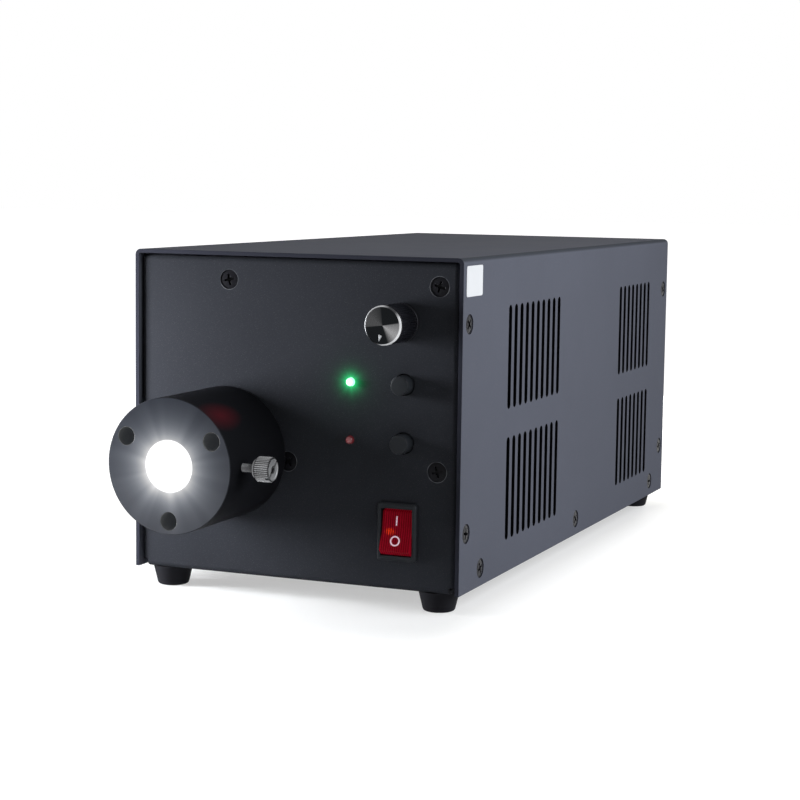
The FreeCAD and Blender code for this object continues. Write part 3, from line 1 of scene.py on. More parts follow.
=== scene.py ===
"""The looks of a fiber optic illuminator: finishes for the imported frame, and its finely shaped pieces."""
import json
import math

import bmesh
import bpy
from bpy.props import FloatProperty, FloatVectorProperty, IntProperty, PointerProperty
from mathutils import Matrix, Vector


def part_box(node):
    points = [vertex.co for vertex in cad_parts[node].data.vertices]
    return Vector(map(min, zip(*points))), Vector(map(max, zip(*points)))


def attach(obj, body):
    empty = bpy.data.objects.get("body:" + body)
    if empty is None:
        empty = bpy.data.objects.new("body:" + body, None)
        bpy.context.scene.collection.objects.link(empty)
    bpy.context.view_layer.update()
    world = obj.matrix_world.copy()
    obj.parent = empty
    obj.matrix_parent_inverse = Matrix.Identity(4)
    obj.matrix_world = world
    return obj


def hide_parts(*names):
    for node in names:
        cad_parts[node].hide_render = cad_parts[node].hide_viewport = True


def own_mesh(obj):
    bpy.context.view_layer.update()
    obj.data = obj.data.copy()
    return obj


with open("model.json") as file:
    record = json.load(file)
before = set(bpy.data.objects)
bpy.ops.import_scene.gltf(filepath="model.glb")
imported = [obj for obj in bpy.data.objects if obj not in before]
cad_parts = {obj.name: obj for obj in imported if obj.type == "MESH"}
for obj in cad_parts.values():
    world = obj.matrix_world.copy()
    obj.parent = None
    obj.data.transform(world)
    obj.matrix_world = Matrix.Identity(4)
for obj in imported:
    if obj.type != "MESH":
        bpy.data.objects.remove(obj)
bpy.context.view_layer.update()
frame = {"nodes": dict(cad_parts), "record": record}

bl_info = {
    "name": "Fiber Optic Illuminator",
    "version": (1, 0, 0),
    "blender": (4, 5, 0),
    "location": "View3D > Sidebar > Illuminator",
    "description": "Dresses the frame of a bench light source with its finishes and fine pieces",
    "category": "Object",
}

MM = 0.001
NODES = frame["nodes"]
NODE_SLOTS = {row["node"]: row["material_slot"] for row in frame["record"]["subparts"]}
BODY_OF = {node: body for body, nodes in frame["record"]["behaviour"]["bodies"].items() for node in nodes}
PORT_RADIUS = frame["record"]["mounts"][0]["dims"]["r_mm"] * MM
SHEET_WALL = 1.5 * MM
FORWARD = Vector((0, -1, 0))
BLACK = (0.0, 0.0, 0.0, 1.0)
WHITE = (1.0, 1.0, 1.0, 1.0)
EVEN = (1.0, 1.0, 1.0)
FINE_STEPS = 96
FINISHES = {}

# Azimuth, elevation and roll are in degrees, the lens in millimetres
CAMERA_PLACE = (306.704 * MM, -758.327 * MM, 155.777 * MM)
CAMERA_TURNS = (22.44, 6.511, 0.7735)
CAMERA_LENS = 88.41

# Each lamp has a name, a place, an aim, a size, a power, a colour and a spread in degrees
CASE_AIM = (0.0, 0.0, 0.05)
PANEL_AIM = (0.03, -0.116, 0.06)
LAMPS = (
    ("side_softbox", (0.5, -0.07, 0.30), CASE_AIM, (0.4, 0.4), 3.0, (0.94, 0.97, 1.0), 180),
    ("front_strip", (-0.18, -0.18, 0.08), PANEL_AIM, (0.05, 0.12), 0.36, (0.95, 0.97, 1.0), 100),
    ("left_softbox", (-0.6, 0.2, 0.4), CASE_AIM, (0.4, 0.4), 1.0, (1.0, 1.0, 1.0), 180),
    ("rear_softbox", (0.0, 0.65, 0.85), CASE_AIM, (0.6, 0.6), 1.55, (1.0, 0.91, 0.62), 180),
    ("back_softbox", (0.0, 0.62, 0.07), CASE_AIM, (0.12, 0.12), 1.1, (1.0, 0.98, 0.95), 180),
)
WORLD_LIGHT = 0.1
FLOOR_SHADE = 0.49
FLOOR_FADE = 45 * MM


def middle(node):
    low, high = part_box(node)
    return (low + high) / 2


def front(node):
    """The middle of a node's front end."""
    low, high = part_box(node)
    return Vector(((low.x + high.x) / 2, low.y, (low.z + high.z) / 2))


def rear(node):
    """The middle of a node's rear end."""
    low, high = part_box(node)
    return Vector(((low.x + high.x) / 2, high.y, (low.z + high.z) / 2))


def half_width(node):
    low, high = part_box(node)
    return (high.x - low.x) / 2


# Sizes and colours that a user would change

def length_property(name, description, default):
    return FloatProperty(name=name, description=description, default=default, min=0.0,
                         precision=5, unit="LENGTH", subtype="DISTANCE")


def colour_property(name, description, default):
    return FloatVectorProperty(name=name, description=description, default=default, min=0.0, max=1.0,
                               size=3, subtype="COLOR")


class IlluminatorSizes(bpy.types.PropertyGroup):
    """Sizes of the fine pieces."""

    paint_grain: length_property("Paint grain", "Width of one grain of the case's paint", 0.55 * MM)
    panel_grain: length_property("Panel grain", "Width of one grain of the front panel's paint", 0.4 * MM)
    edge_radius: length_property("Edge radius", "Rounding of the sheet metal's edges", 0.25 * MM)
    port_glow: length_property("Port glow", "Reach of the lamp's light over the tube's face", 3.4 * MM)
    lamp_glow: length_property("Lamp glow", "Reach of the green lamp's light over the panel", 1.3 * MM)
    cap_chamfer: length_property("Cap chamfer", "Breadth of the bright edge round the knob's face", 0.5 * MM)
    pointer_length: length_property("Pointer length", "Length of the mark on the knob's face", 2.3 * MM)
    pointer_width: length_property("Pointer width", "Width of the mark at its broad end", 1.5 * MM)
    mark_height: length_property("Switch mark height", "Height of the marks on the rocker", 3.8 * MM)
    mark_stroke: length_property("Switch mark stroke", "Breadth of the marks' strokes", 0.55 * MM)
    mark_proud: length_property("Mark thickness", "How far a printed mark stands out", 0.04 * MM)
    label_corner: length_property("Label corner", "Radius of the sticker's corners", 1.0 * MM)
    knob_teeth: IntProperty(name="Knob teeth", description="Teeth round the knob", default=44, min=8)
    screw_teeth: IntProperty(name="Screw teeth", description="Teeth round the clamp screw", default=36, min=8)
    rocker_ribs: IntProperty(name="Rocker ribs", description="Ribs across the rocker", default=15, min=3)


class IlluminatorFinishes(bpy.types.PropertyGroup):
    """Colours of the finishes."""

    case_paint: colour_property("Case paint", "Powder coat of the cover", (0.099, 0.104, 0.129))
    panel_paint: colour_property("Panel paint", "Powder coat of the tray and its front panel",
                                 (0.034, 0.036, 0.043))
    worn_paint: colour_property("Worn paint", "Paint rubbed thin along an edge", (0.17, 0.175, 0.19))
    anodised: colour_property("Anodised", "Black anodised aluminium", (0.0062, 0.0064, 0.0078))
    nickel: colour_property("Nickel", "Plated bright metal", (0.76, 0.77, 0.79))
    rocker_red: colour_property("Rocker", "Translucent red of the power rocker", (0.17, 0.003, 0.010))
    port_light: colour_property("Port light", "Light of the lamp in the port", (1.0, 1.0, 1.0))
    green_light: colour_property("Green light", "Light of the lit signal lamp", (0.02, 1.0, 0.28))
    printed: colour_property("Printed marks", "Tinted white of the printed marks", (0.90, 0.78, 0.84))


# Node helpers

class Wiring:
    """Places and links the nodes of one material or one node group."""

    def __init__(self, tree):
        self.tree = tree

    def feed(self, socket, value):
        """A socket takes another node's output, or a value of its own."""
        if isinstance(value, bpy.types.NodeSocket):
            self.tree.links.new(value, socket)
        else:
            socket.default_value = value

    def add(self, kind, values=None, **settings):
        node = self.tree.nodes.new("ShaderNode" + kind)
        for name, value in settings.items():
            setattr(node, name, value)
        for socket, value in (values or {}).items():
            self.feed(node.inputs[socket], value)
        return node

    def maths(self, operation, *values, clamp=False):
        node = self.add("Math", operation=operation, use_clamp=clamp)
        for socket, value in zip(node.inputs, values):
            self.feed(socket, value)
        return node.outputs[0]

    def vector(self, operation, *values):
        node = self.add("VectorMath", operation=operation)
        for socket, value in zip(node.inputs, values):
            self.feed(socket, value)
        return node.outputs["Value" if operation in ("DOT_PRODUCT", "LENGTH") else "Vector"]

    def mixed(self, factor, first, second):
        """A colour between two colours."""
        node = self.add("Mix", data_type="RGBA")
        for index, value in ((0, factor), (6, first), (7, second)):
            self.feed(node.inputs[index], value)
        return node.outputs[2]

    def ranged(self, value, low, high, first, last):
        """A value carried from one range to another, held at the ends."""
        return self.add("MapRange", {"Value": value, "From Min": low, "From Max": high,
                                     "To Min": first, "To Max": last}).outputs[0]

    def noise(self, place, scale, detail=2.0, roughness=0.5):
        return self.add("TexNoise", {"Vector": place, "Scale": scale, "Detail": detail,
                                     "Roughness": roughness}).outputs["Fac"]

    def place(self):
        """The place on the piece, in the object's own metres."""
        return self.add("TexCoord").outputs["Object"]

    def apart(self, vector):
        """The three parts of a vector, by their letters."""
        return self.add("SeparateXYZ", {"Vector": vector}).outputs

    def normal(self):
        """The direction in which the piece faces."""
        return self.add("TexCoord").outputs["Normal"]

    def forward(self, full, none):
        """One where the piece faces the front, falling to zero as it turns away."""
        return self.ranged(self.apart(self.normal())["Y"], full, none, 1.0, 0.0)

    def product(self, first, *others):
        for other in others:
            first = self.maths("MULTIPLY", first, other)
        return first

    def hole_distance(self, places):
        """How far the place on the piece is from the nearest of some axes along Y."""
        nearest = None
        for x, z in places:
            offset = self.vector("SUBTRACT", self.place(), (x, 0.0, z))
            distance = self.vector("LENGTH", self.vector("MULTIPLY", offset, (1.0, 0.0, 1.0)))
            nearest = distance if nearest is None else self.maths("MINIMUM", nearest, distance)
        return nearest

    def bump(self, height, distance, strength=1.0, normal=None):
        node = self.add("Bump", {"Height": height, "Distance": distance, "Strength": strength})
        if normal is not None:
            self.feed(node.inputs["Normal"], normal)
        return node.outputs["Normal"]


def opaque(colour):
    return (*colour, 1.0)


def scaled(colour, share, rise=0.0):
    """A lighter or darker kind of a colour, held at white."""
    return opaque(tuple(min(1.0, share * channel + rise) for channel in colour))


def new_group(name, inputs, outputs):
    """An empty shader node group with named inputs and outputs: (wiring, inputs, output node)."""
    tree = bpy.data.node_groups.new(name, "ShaderNodeTree")
    for label, kind, value in inputs:
        socket = tree.interface.new_socket(name=label, in_out="INPUT", socket_type="NodeSocket" + kind)
        socket.default_value = value
    for label, kind in outputs:
        tree.interface.new_socket(name=label, in_out="OUTPUT", socket_type="NodeSocket" + kind)
    entry = tree.nodes.new("NodeGroupInput")
    result = tree.nodes.new("NodeGroupOutput")
    return Wiring(tree), entry.outputs, result.inputs


def build_grain():
    """Fine pimples of a powder coat or a moulding, and slow mottling over a hand's breadth."""
    wiring, given, result = new_group(
        "Grain", [("Grain Size", "Float", 0.5 * MM)],
        [("Height", "Float"), ("Mottle", "Float"), ("Speck", "Float")])
    place = wiring.place()
    fine = wiring.maths("DIVIDE", 1.0, given["Grain Size"])
    pimples = wiring.noise(place, fine, 1.5)
    dimples = wiring.noise(place, wiring.maths("MULTIPLY", fine, 0.28), 1.0)
    height = wiring.maths("ADD", wiring.maths("MULTIPLY", pimples, 0.7),
                          wiring.maths("MULTIPLY", dimples, 0.5))
    wiring.feed(result["Height"], height)
    wiring.feed(result["Mottle"], wiring.noise(place, 22.0, 3.0, 0.6))
    specks = wiring.noise(place, wiring.maths("MULTIPLY", fine, 1.7), 0.0)
    wiring.feed(result["Speck"], wiring.ranged(specks, 0.68, 0.8, 0.0, 1.0))


def build_edge_wear():
    """Where an edge is rubbed bright, broken up by noise, and the normal of its rounding."""
    wiring, given, result = new_group(
        "Edge Wear", [("Radius", "Float", 0.3 * MM), ("Amount", "Float", 1.0)],
        [("Mask", "Float"), ("Normal", "Vector")])
    rounded = wiring.add("Bevel", {"Radius": given["Radius"]}, samples=6).outputs["Normal"]
    flat = wiring.add("NewGeometry").outputs["Normal"]
    turned = wiring.maths("SUBTRACT", 1.0, wiring.vector("DOT_PRODUCT", rounded, flat))
    patchy = wiring.ranged(wiring.noise(wiring.place(), 260.0, 4.0, 0.65), 0.42, 0.66, 0.1, 1.0)
    amount = wiring.maths("MULTIPLY", wiring.maths("MULTIPLY", turned, 4.0), patchy)
    wiring.feed(result["Mask"], wiring.maths("MULTIPLY", amount, given["Amount"], clamp=True))
    wiring.feed(result["Normal"], rounded)


def build_turned():
    """Tool marks of a face turned about an axis along Y: rings, and how far and which way from it."""
    wiring, given, result = new_group(
        "Turned Rings", [("Centre", "Vector", (0.0, 0.0, 0.0)), ("Pitch", "Float", 0.2 * MM)],
        [("Rings", "Float"), ("Distance", "Float"), ("Angle", "Float")])
    offset = wiring.vector("SUBTRACT", wiring.place(), given["Centre"])
    parts = wiring.apart(offset)
    flat = wiring.add("CombineXYZ", {"X": parts["X"], "Z": parts["Z"]}).outputs[0]
    distance = wiring.vector("LENGTH", flat)
    count = wiring.maths("DIVIDE", distance, given["Pitch"])
    wave = wiring.maths("SINE", wiring.maths("MULTIPLY", count, 2 * math.pi))
    line = wiring.add("CombineXYZ", {"X": count}).outputs[0]
    uneven = wiring.noise(line, 0.7, 2.0)
    wiring.feed(result["Rings"], wiring.maths("ADD", wiring.maths("MULTIPLY", wave, 0.25), uneven))
    wiring.feed(result["Distance"], distance)
    wiring.feed(result["Angle"], wiring.maths("ARCTAN2", parts["Z"], parts["X"]))


def build_light_pool():
    """Light that spreads over a face from a lamp in it: full at the rim, fading in faint rays."""
    wiring, given, result = new_group(
        "Light Pool",
        [("Distance", "Float", 0.0), ("Angle", "Float", 0.0), ("Rim", "Float", 1.0 * MM),
         ("Reach", "Float", 2.0 * MM), ("Rays", "Float", 0.0)],
        [("Light", "Float")])
    past = wiring.maths("MAXIMUM", wiring.maths("SUBTRACT", given["Distance"], given["Rim"]), 0.0)
    depth = wiring.maths("DIVIDE", past, given["Reach"])
    fade = wiring.maths("EXPONENT", wiring.maths("MULTIPLY", depth, -1.0))
    around = wiring.add("CombineXYZ", {"X": wiring.maths("COSINE", given["Angle"]),
                                       "Y": wiring.maths("SINE", given["Angle"])}).outputs[0]
    streaks = wiring.ranged(wiring.noise(around, 2.1, 1.6, 0.5), 0.35, 0.65, -1.0, 1.0)
    rays = wiring.maths("MULTIPLY", streaks, given["Rays"])
    wiring.feed(result["Light"], wiring.maths("MULTIPLY", fade, wiring.maths("ADD", 1.0, rays)))


def build_brushed():
    """Fine lines drawn along one axis, with the dents of handling."""
    wiring, given, result = new_group(
        "Drawn Lines", [("Squeeze", "Vector", (1.0, 1.0, 1.0)), ("Scale", "Float", 900.0)],
        [("Lines", "Float"), ("Smudge", "Float")])
    place = wiring.place()
    stretched = wiring.vector("MULTIPLY", place, given["Squeeze"])
    wiring.feed(result["Lines"], wiring.noise(stretched, given["Scale"], 3.0, 0.6))
    wiring.feed(result["Smudge"], wiring.noise(place, 90.0, 3.0, 0.6))


def build_dust():
    """Dust that settles where a piece faces up, thicker in some places."""
    wiring, given, result = new_group("Settled Dust", [("Amount", "Float", 0.1)], [("Mask", "Float")])
    upward = wiring.ranged(wiring.apart(wiring.normal())["Z"], 0.4, 1.0, 0.0, 1.0)
    patches = wiring.ranged(wiring.noise(wiring.place(), 60.0, 5.0, 0.7), 0.4, 0.75, 0.0, 1.0)
    wiring.feed(result["Mask"], wiring.maths("MULTIPLY", wiring.product(upward, patches), given["Amount"],
                                             clamp=True))


class Finish(Wiring):
    """A material with one Principled shader and the shared effects placed in it."""

    def __init__(self, name, **values):
        self.material = bpy.data.materials.new(name + "_finish")
        self.material.use_nodes = True
        super().__init__(self.material.node_tree)
        self.shader = self.tree.nodes["Principled BSDF"]
        self.set(**values)

    def set(self, **values):
        """Feeds the shader's sockets, named with underscores for spaces."""
        for name, value in values.items():
            self.feed(self.shader.inputs[name.replace("_", " ")], value)

    def effect(self, name, **values):
        """Places a shared effect and gives its outputs."""
        node = self.tree.nodes.new("ShaderNodeGroup")
        node.node_tree = bpy.data.node_groups[name]
        for label, value in values.items():
            self.feed(node.inputs[label.replace("_", " ")], value)
        return node.outputs

    def light_pools(self, lamp, rim, reach, near_rays, wide_rays):
        """The light near a lamp and the faint light that spreads four times as wide."""
        return [self.effect("Light Pool", Distance=lamp["Distance"], Angle=lamp["Angle"], Rim=rim,
                            Reach=share * reach, Rays=rays)["Light"]
                for share, rays in ((1, near_rays), (4, wide_rays))]


# Finishes

def powder_coat(name, colour, worn, grain_size, roughness, edge_radius):
    """Satin paint with fine pimples, rubbed a little along the edges."""
    finish = Finish(name, Metallic=0.0, Specular_IOR_Level=0.01)
    grain = finish.effect("Grain", Grain_Size=grain_size)
    wear = finish.effect("Edge Wear", Radius=edge_radius, Amount=0.5)
    dust = finish.effect("Settled Dust", Amount=0.05)
    tone = finish.mixed(grain["Mottle"], scaled(colour, 0.9), scaled(colour, 1.1))
    tone = finish.mixed(finish.maths("MULTIPLY", grain["Speck"], 0.25), tone, opaque(worn))
    tone = finish.mixed(wear["Mask"], tone, opaque(worn))
    tone = finish.mixed(dust["Mask"], tone, opaque((0.30, 0.29, 0.27)))
    gloss = finish.ranged(grain["Mottle"], 0.3, 0.7, roughness - 0.05, roughness + 0.06)
    gloss = finish.maths("ADD", gloss, finish.maths("MULTIPLY", grain["Height"], 0.05))
    finish.set(Base_Color=tone, Roughness=gloss,
               Normal=finish.bump(grain["Height"], 0.02 * MM, 0.35, wear["Normal"]))
    return finish


def case_paint(sizes, colours):
    """The cover's paint, with painted shade: black on the cut faces of its slots, darker at its top bends and
    on its front-facing edges.
    """
    finish = powder_coat("case_paint", colours.case_paint, colours.worn_paint, sizes.paint_grain, 0.72,
                         sizes.edge_radius)
    low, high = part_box("cover")
    place = finish.apart(finish.place())
    normal = finish.apart(finish.normal())
    sideways = finish.maths("ABSOLUTE", normal["X"])
    # Painted shade: the cut faces of the side's slots are painted near black.
    in_side = finish.maths("GREATER_THAN", finish.maths("ABSOLUTE", place["X"]), high.x - 1.05 * SHEET_WALL)
    cut = finish.maths("LESS_THAN", sideways, 0.3)
    behind = finish.maths("GREATER_THAN", place["Y"], low.y + SHEET_WALL)
    before = finish.maths("LESS_THAN", place["Y"], high.y - SHEET_WALL)
    below = finish.maths("LESS_THAN", place["Z"], high.z - 2 * SHEET_WALL)
    slot_shade = finish.product(in_side, cut, behind, before, below)
    painted = finish.shader.inputs["Base Color"].links[0].from_socket
    # Painted shade: darker along the rounded corner between the top and the side.
    bend_shade = finish.product(finish.ranged(sideways, 0.1, 0.35, 0.0, 1.0),
                          finish.ranged(normal["Z"], 0.25, 0.6, 0.0, 0.6))
    painted = finish.mixed(bend_shade, painted, opaque((0.012, 0.016, 0.018)))
    # Painted shade: faces that look to the front, such as the cover's front edge, are painted darker.
    forward = finish.ranged(normal["Y"], -0.95, -0.7, 0.68, 0.0)
    painted = finish.mixed(forward, painted, opaque((0.006, 0.006, 0.014)))
    finish.set(Base_Color=finish.mixed(slot_shade, painted, opaque((0.002, 0.002, 0.003))))
    return finish


def panel_paint(sizes, colours):
    """The front panel's paint, with the green lamp's light painted on it and a painted highlight round each
    screw.
    """
    finish = powder_coat("panel_paint", colours.panel_paint, colours.worn_paint, sizes.panel_grain, 0.46,
                         sizes.edge_radius)
    lamp = finish.effect("Turned Rings", Centre=front("led_green"), Pitch=1.0)
    near, wide = finish.light_pools(lamp, half_width("led_green"), sizes.lamp_glow, 0.22, 0.2)
    facing = finish.forward(-0.9, -0.5)
    light = finish.maths("ADD", finish.maths("MULTIPLY", near, 0.6), finish.maths("MULTIPLY", wide, 0.016))
    glow = finish.mixed(finish.maths("MULTIPLY", light, facing, clamp=True), BLACK,
                        opaque(colours.green_light))
    # Painted highlight: a patchy pale ring round each screw on the front-facing paint, for the lit rim of its
    # countersink.
    around = finish.hole_distance(axes_of("panel_screws"))
    inner, outer, blur = 3.55 * MM, 3.85 * MM, 0.1 * MM
    patchy = finish.ranged(finish.noise(finish.place(), 150.0), 0.45, 0.6, 0.1, 0.7)
    ring = finish.product(finish.ranged(around, inner, inner + blur, 0.0, 1.0),
                          finish.ranged(around, outer - blur, outer, 1.0, 0.0), patchy, facing)
    painted = finish.shader.inputs["Base Color"].links[0].from_socket
    finish.set(Base_Color=finish.mixed(ring, painted, opaque((0.30, 0.31, 0.33))),
               Emission_Color=glow, Emission_Strength=0.9)
    return finish


def axes_of(node):
    """The axes along Y of a node's separate solids, as (x, z)."""
    return [((low.x + high.x) / 2, (low.z + high.z) / 2) for low, high in solid_boxes(node)]


def anodised_tube(sizes, colours):
    """Turned and anodised aluminium, white with painted light in the port and grey around it from painted
    light on the face, which is painted darker towards the top; the screw holes are painted lighter, and a red
    reflection is painted on the side.
    """
    finish = Finish("black_anodised", Metallic=0.0, Specular_IOR_Level=0.02)
    tube = front("light_port_tube")
    rings = finish.effect("Turned Rings", Centre=tube, Pitch=0.35 * MM)
    wear = finish.effect("Edge Wear", Radius=0.35 * MM, Amount=0.9)
    grain = finish.effect("Grain", Grain_Size=0.3 * MM)
    tone = finish.mixed(grain["Mottle"], scaled(colours.anodised, 0.85), scaled(colours.anodised, 1.3))
    tone = finish.mixed(wear["Mask"], tone, opaque((0.12, 0.125, 0.14)))
    facing = finish.forward(-0.95, -0.6)
    low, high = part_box("light_port_tube")
    height = finish.apart(finish.place())["Z"]
    # Painted light and shade: the front face is painted grey, lighter at the bottom and darker towards the
    # top.
    painted_face_light = finish.mixed(finish.ranged(height, low.z, high.z, 0.0, 1.0), opaque((0.074, 0.076, 0.088)),
                               opaque((0.024, 0.027, 0.038)))
    tone = finish.mixed(facing, tone, painted_face_light)
    # Painted light: the screw holes are painted a lighter grey than the face.
    within = finish.maths("LESS_THAN", finish.hole_distance(axes_of("port_screws")), 3.35 * MM)
    tone = finish.mixed(within, tone, opaque((0.18, 0.18, 0.175)))
    finish.set(Base_Color=tone,
               Roughness=finish.ranged(rings["Rings"], 0.2, 0.9, 0.36, 0.5),
               Normal=finish.bump(rings["Rings"], 0.01 * MM, 0.5, wear["Normal"]))
    lamp = finish.effect("Turned Rings", Centre=tube + Vector((-0.5 * MM, 0.0, -0.5 * MM)), Pitch=1.0)
    near, wide = finish.light_pools(lamp, PORT_RADIUS, sizes.port_glow, 0.14, 0.4)
    face = finish.maths("ADD", finish.maths("MULTIPLY", near, 0.34), finish.maths("MULTIPLY", wide, 0.056))
    inside = finish.ranged(rings["Distance"], PORT_RADIUS + 0.05 * MM, PORT_RADIUS + 0.5 * MM, 1.0, 0.0)
    light = finish.product(face, facing, finish.maths("SUBTRACT", 1.0, within))
    # Painted light: a faint glow inside the screw holes.
    light = finish.maths("ADD", light, finish.maths("MULTIPLY", within, 0.012))
    light = finish.maths("ADD", light, inside, clamp=True)
    tint = finish.mixed(finish.ranged(light, 0.02, 0.3, 0.0, 1.0), opaque((0.80, 0.88, 1.0)),
                        opaque(colours.port_light))
    glow = finish.mixed(light, BLACK, tint)
    # Painted reflection: a faint red patch glows on the tube's side, away from its face.
    red_reflection_place = tube + Vector((16.2 * MM, 8.0 * MM, 18.1 * MM))
    red_reflection = finish.vector("SUBTRACT", finish.place(), red_reflection_place)
    red_reflection = finish.vector("LENGTH", finish.vector("MULTIPLY", red_reflection, (1.0, 0.6, 1.4)))
    red_reflection = finish.product(finish.ranged(red_reflection, 0.0, 8.5 * MM, 0.026, 0.0),
                           finish.maths("SUBTRACT", 1.0, facing))
    glow = finish.mixed(red_reflection, glow, opaque((1.0, 0.02, 0.06)))
    finish.set(Emission_Color=glow, Emission_Strength=1.6)
    return finish


def plain_metal(name, colour, roughness, squeeze, scale, bump=0.3, specular=0.5, metallic=1.0, wear=0.6,
                worn=None):
    """Metal with fine drawn lines, smudges and bright edges."""
    finish = Finish(name, Metallic=metallic, Specular_IOR_Level=specular)
    lines = finish.effect("Drawn Lines", Squeeze=squeeze, Scale=scale)
    edges = finish.effect("Edge Wear", Radius=0.12 * MM, Amount=wear)
    tone = finish.mixed(lines["Smudge"], scaled(colour, 0.82), opaque(colour))
    tone = finish.mixed(edges["Mask"], tone, opaque(worn) if worn else scaled(colour, 1.4, 0.05))
    rough = finish.maths("ADD", finish.ranged(lines["Lines"], 0.3, 0.7, roughness * 0.75, roughness * 1.25),
                         finish.maths("MULTIPLY", lines["Smudge"], 0.1))
    finish.set(Base_Color=tone, Roughness=rough,
               Normal=finish.bump(lines["Lines"], 0.005 * MM, bump, edges["Normal"]))
    return finish


def moulded(name, colour, roughness, grain_size, specular=0.4, wear=0.25, radius=0.2 * MM):
    """Moulded plastic, rubber or film: fine grain, mottled sheen and slightly paler edges."""
    finish = Finish(name, Metallic=0.0, Specular_IOR_Level=specular)
    grain = finish.effect("Grain", Grain_Size=grain_size)
    edges = finish.effect("Edge Wear", Radius=radius, Amount=wear)
    tone = finish.mixed(grain["Mottle"], scaled(colour, 0.88), scaled(colour, 1.12))
    tone = finish.mixed(edges["Mask"], tone, scaled(colour, 1.8, 0.02))
    rough = finish.ranged(grain["Mottle"], 0.3, 0.7, roughness - 0.06, roughness + 0.06)
    finish.set(Base_Color=tone, Roughness=rough,
               Normal=finish.bump(grain["Height"], 0.015 * MM, 0.35, edges["Normal"]))
    return finish


def printed_marks(sizes, colours):
    """The rocker's white marks, with some of the lamp behind them showing through."""
    finish = moulded("printed_marks", colours.printed, 0.4, 0.5 * MM, 0.2, 0.0)
    finish.set(Emission_Color=opaque((0.24, 0.12, 0.16)), Emission_Strength=1.0)
    return finish


def spun_face(sizes, colours):
    """The knob's spun disc: rings, and the bright and dark wedges that they throw, painted as reflections in
    its colour, with a painted highlight on its rim.
    """
    finish = Finish("knob_face", Metallic=1.0)
    cap = front("knob_cap")
    rings = finish.effect("Turned Rings", Centre=cap, Pitch=0.16 * MM)
    angle = rings["Angle"]
    # Painted reflections: bright and dark wedges by angle, in the disc's colour.
    lower = finish.product(finish.ranged(angle, -1.25, -0.7, 0.0, 1.0),
                           finish.ranged(angle, -0.5, 0.12, 1.0, 0.5),
                           finish.ranged(angle, 0.12, 0.2, 1.0, 0.0))
    upper = finish.product(finish.ranged(angle, 1.66, 1.74, 0.0, 1.0),
                           finish.ranged(angle, 1.7, 2.6, 0.06, 0.2))
    upper = finish.maths("ADD", upper, finish.ranged(angle, -3.06, -3.0, 0.18, 0.0))
    shade = finish.maths("MULTIPLY", finish.maths("ADD", lower, upper),
                         finish.ranged(rings["Rings"], 0.2, 0.9, 0.85, 1.1))
    tone = finish.mixed(shade, opaque((0.008, 0.009, 0.010)), opaque((0.27, 0.27, 0.275)))
    edge = half_width("knob_cap") - sizes.cap_chamfer
    blur = 0.05 * MM
    # The rim is bright metal; its greater width at the right and its brightness, which rises and falls with
    # the angle, are painted highlight.
    lean = finish.maths("MULTIPLY", finish.maths("COSINE", angle), 0.17 * MM)
    rim = finish.ranged(finish.maths("ADD", rings["Distance"], lean), edge - blur, edge + blur, 0.0, 1.0)
    glint = finish.maths("COSINE", finish.maths("ADD", finish.maths("MULTIPLY", angle, 2.0), 1.15))
    glint = finish.ranged(glint, -0.93, -0.4, 0.06, 1.0)
    uneven = finish.ranged(finish.maths("SINE", finish.maths("ADD", angle, 1.4)), -1.0, 1.0, 0.38, 0.7)
    bright = finish.mixed(finish.product(glint, uneven), opaque((0.02, 0.021, 0.024)),
                          opaque(colours.nickel))
    tone = finish.mixed(rim, tone, bright)
    finish.set(Base_Color=tone, Roughness=finish.ranged(rings["Rings"], 0.2, 0.9, 0.24, 0.4),
               Normal=finish.bump(rings["Rings"], 0.01 * MM, 0.6))
    return finish


def nickel_wear_and_shade(sizes, colours):
    """The clamp screw's plating, with painted shade between its teeth and its threads."""
    finish = Finish("clamp_nickel", Metallic=1.0)
    low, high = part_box("thumbscrew")
    offset = finish.vector("SUBTRACT", finish.place(), (low + high) / 2)
    distance = finish.vector("LENGTH", finish.vector("MULTIPLY", offset, (0.0, 1.0, 1.0)))
    radius = (high.z - low.z) / 2
    # Painted shade: dark between the teeth and in the thread's roots, lighter on the tooth tips, the thread's
    # crests and the end face.
    teeth = finish.ranged(distance, radius - 0.24 * MM, radius - 0.06 * MM, 0.05, 1.0)
    face = finish.ranged(distance, radius - 0.6 * MM, radius - 0.5 * MM, 1.0, 0.0)
    threads = finish.ranged(distance, 1.28 * MM, 1.46 * MM, 0.1, 1.0)
    shaft = finish.ranged(distance, 1.52 * MM, 1.56 * MM, 1.0, 0.0)
    lit = finish.mixed(shaft, finish.maths("MAXIMUM", teeth, face), threads)
    lines = finish.effect("Drawn Lines", Squeeze=(0.3, 1.0, 1.0), Scale=1500.0)
    lit = finish.maths("MULTIPLY", lit, finish.ranged(lines["Smudge"], 0.3, 0.7, 0.55, 1.0))
    edges = finish.effect("Edge Wear", Radius=0.1 * MM, Amount=0.6)
    tone = finish.mixed(lit, opaque((0.02, 0.02, 0.022)), scaled(colours.nickel, 0.40))
    tone = finish.mixed(edges["Mask"], tone, opaque(colours.nickel))
    gloss = finish.maths("ADD", finish.ranged(lines["Lines"], 0.3, 0.7, 0.18, 0.34),
                         finish.maths("MULTIPLY", face, 0.32))
    finish.set(Base_Color=tone, Roughness=gloss, Normal=finish.bump(lines["Lines"], 0.005 * MM, 0.25))
    return finish


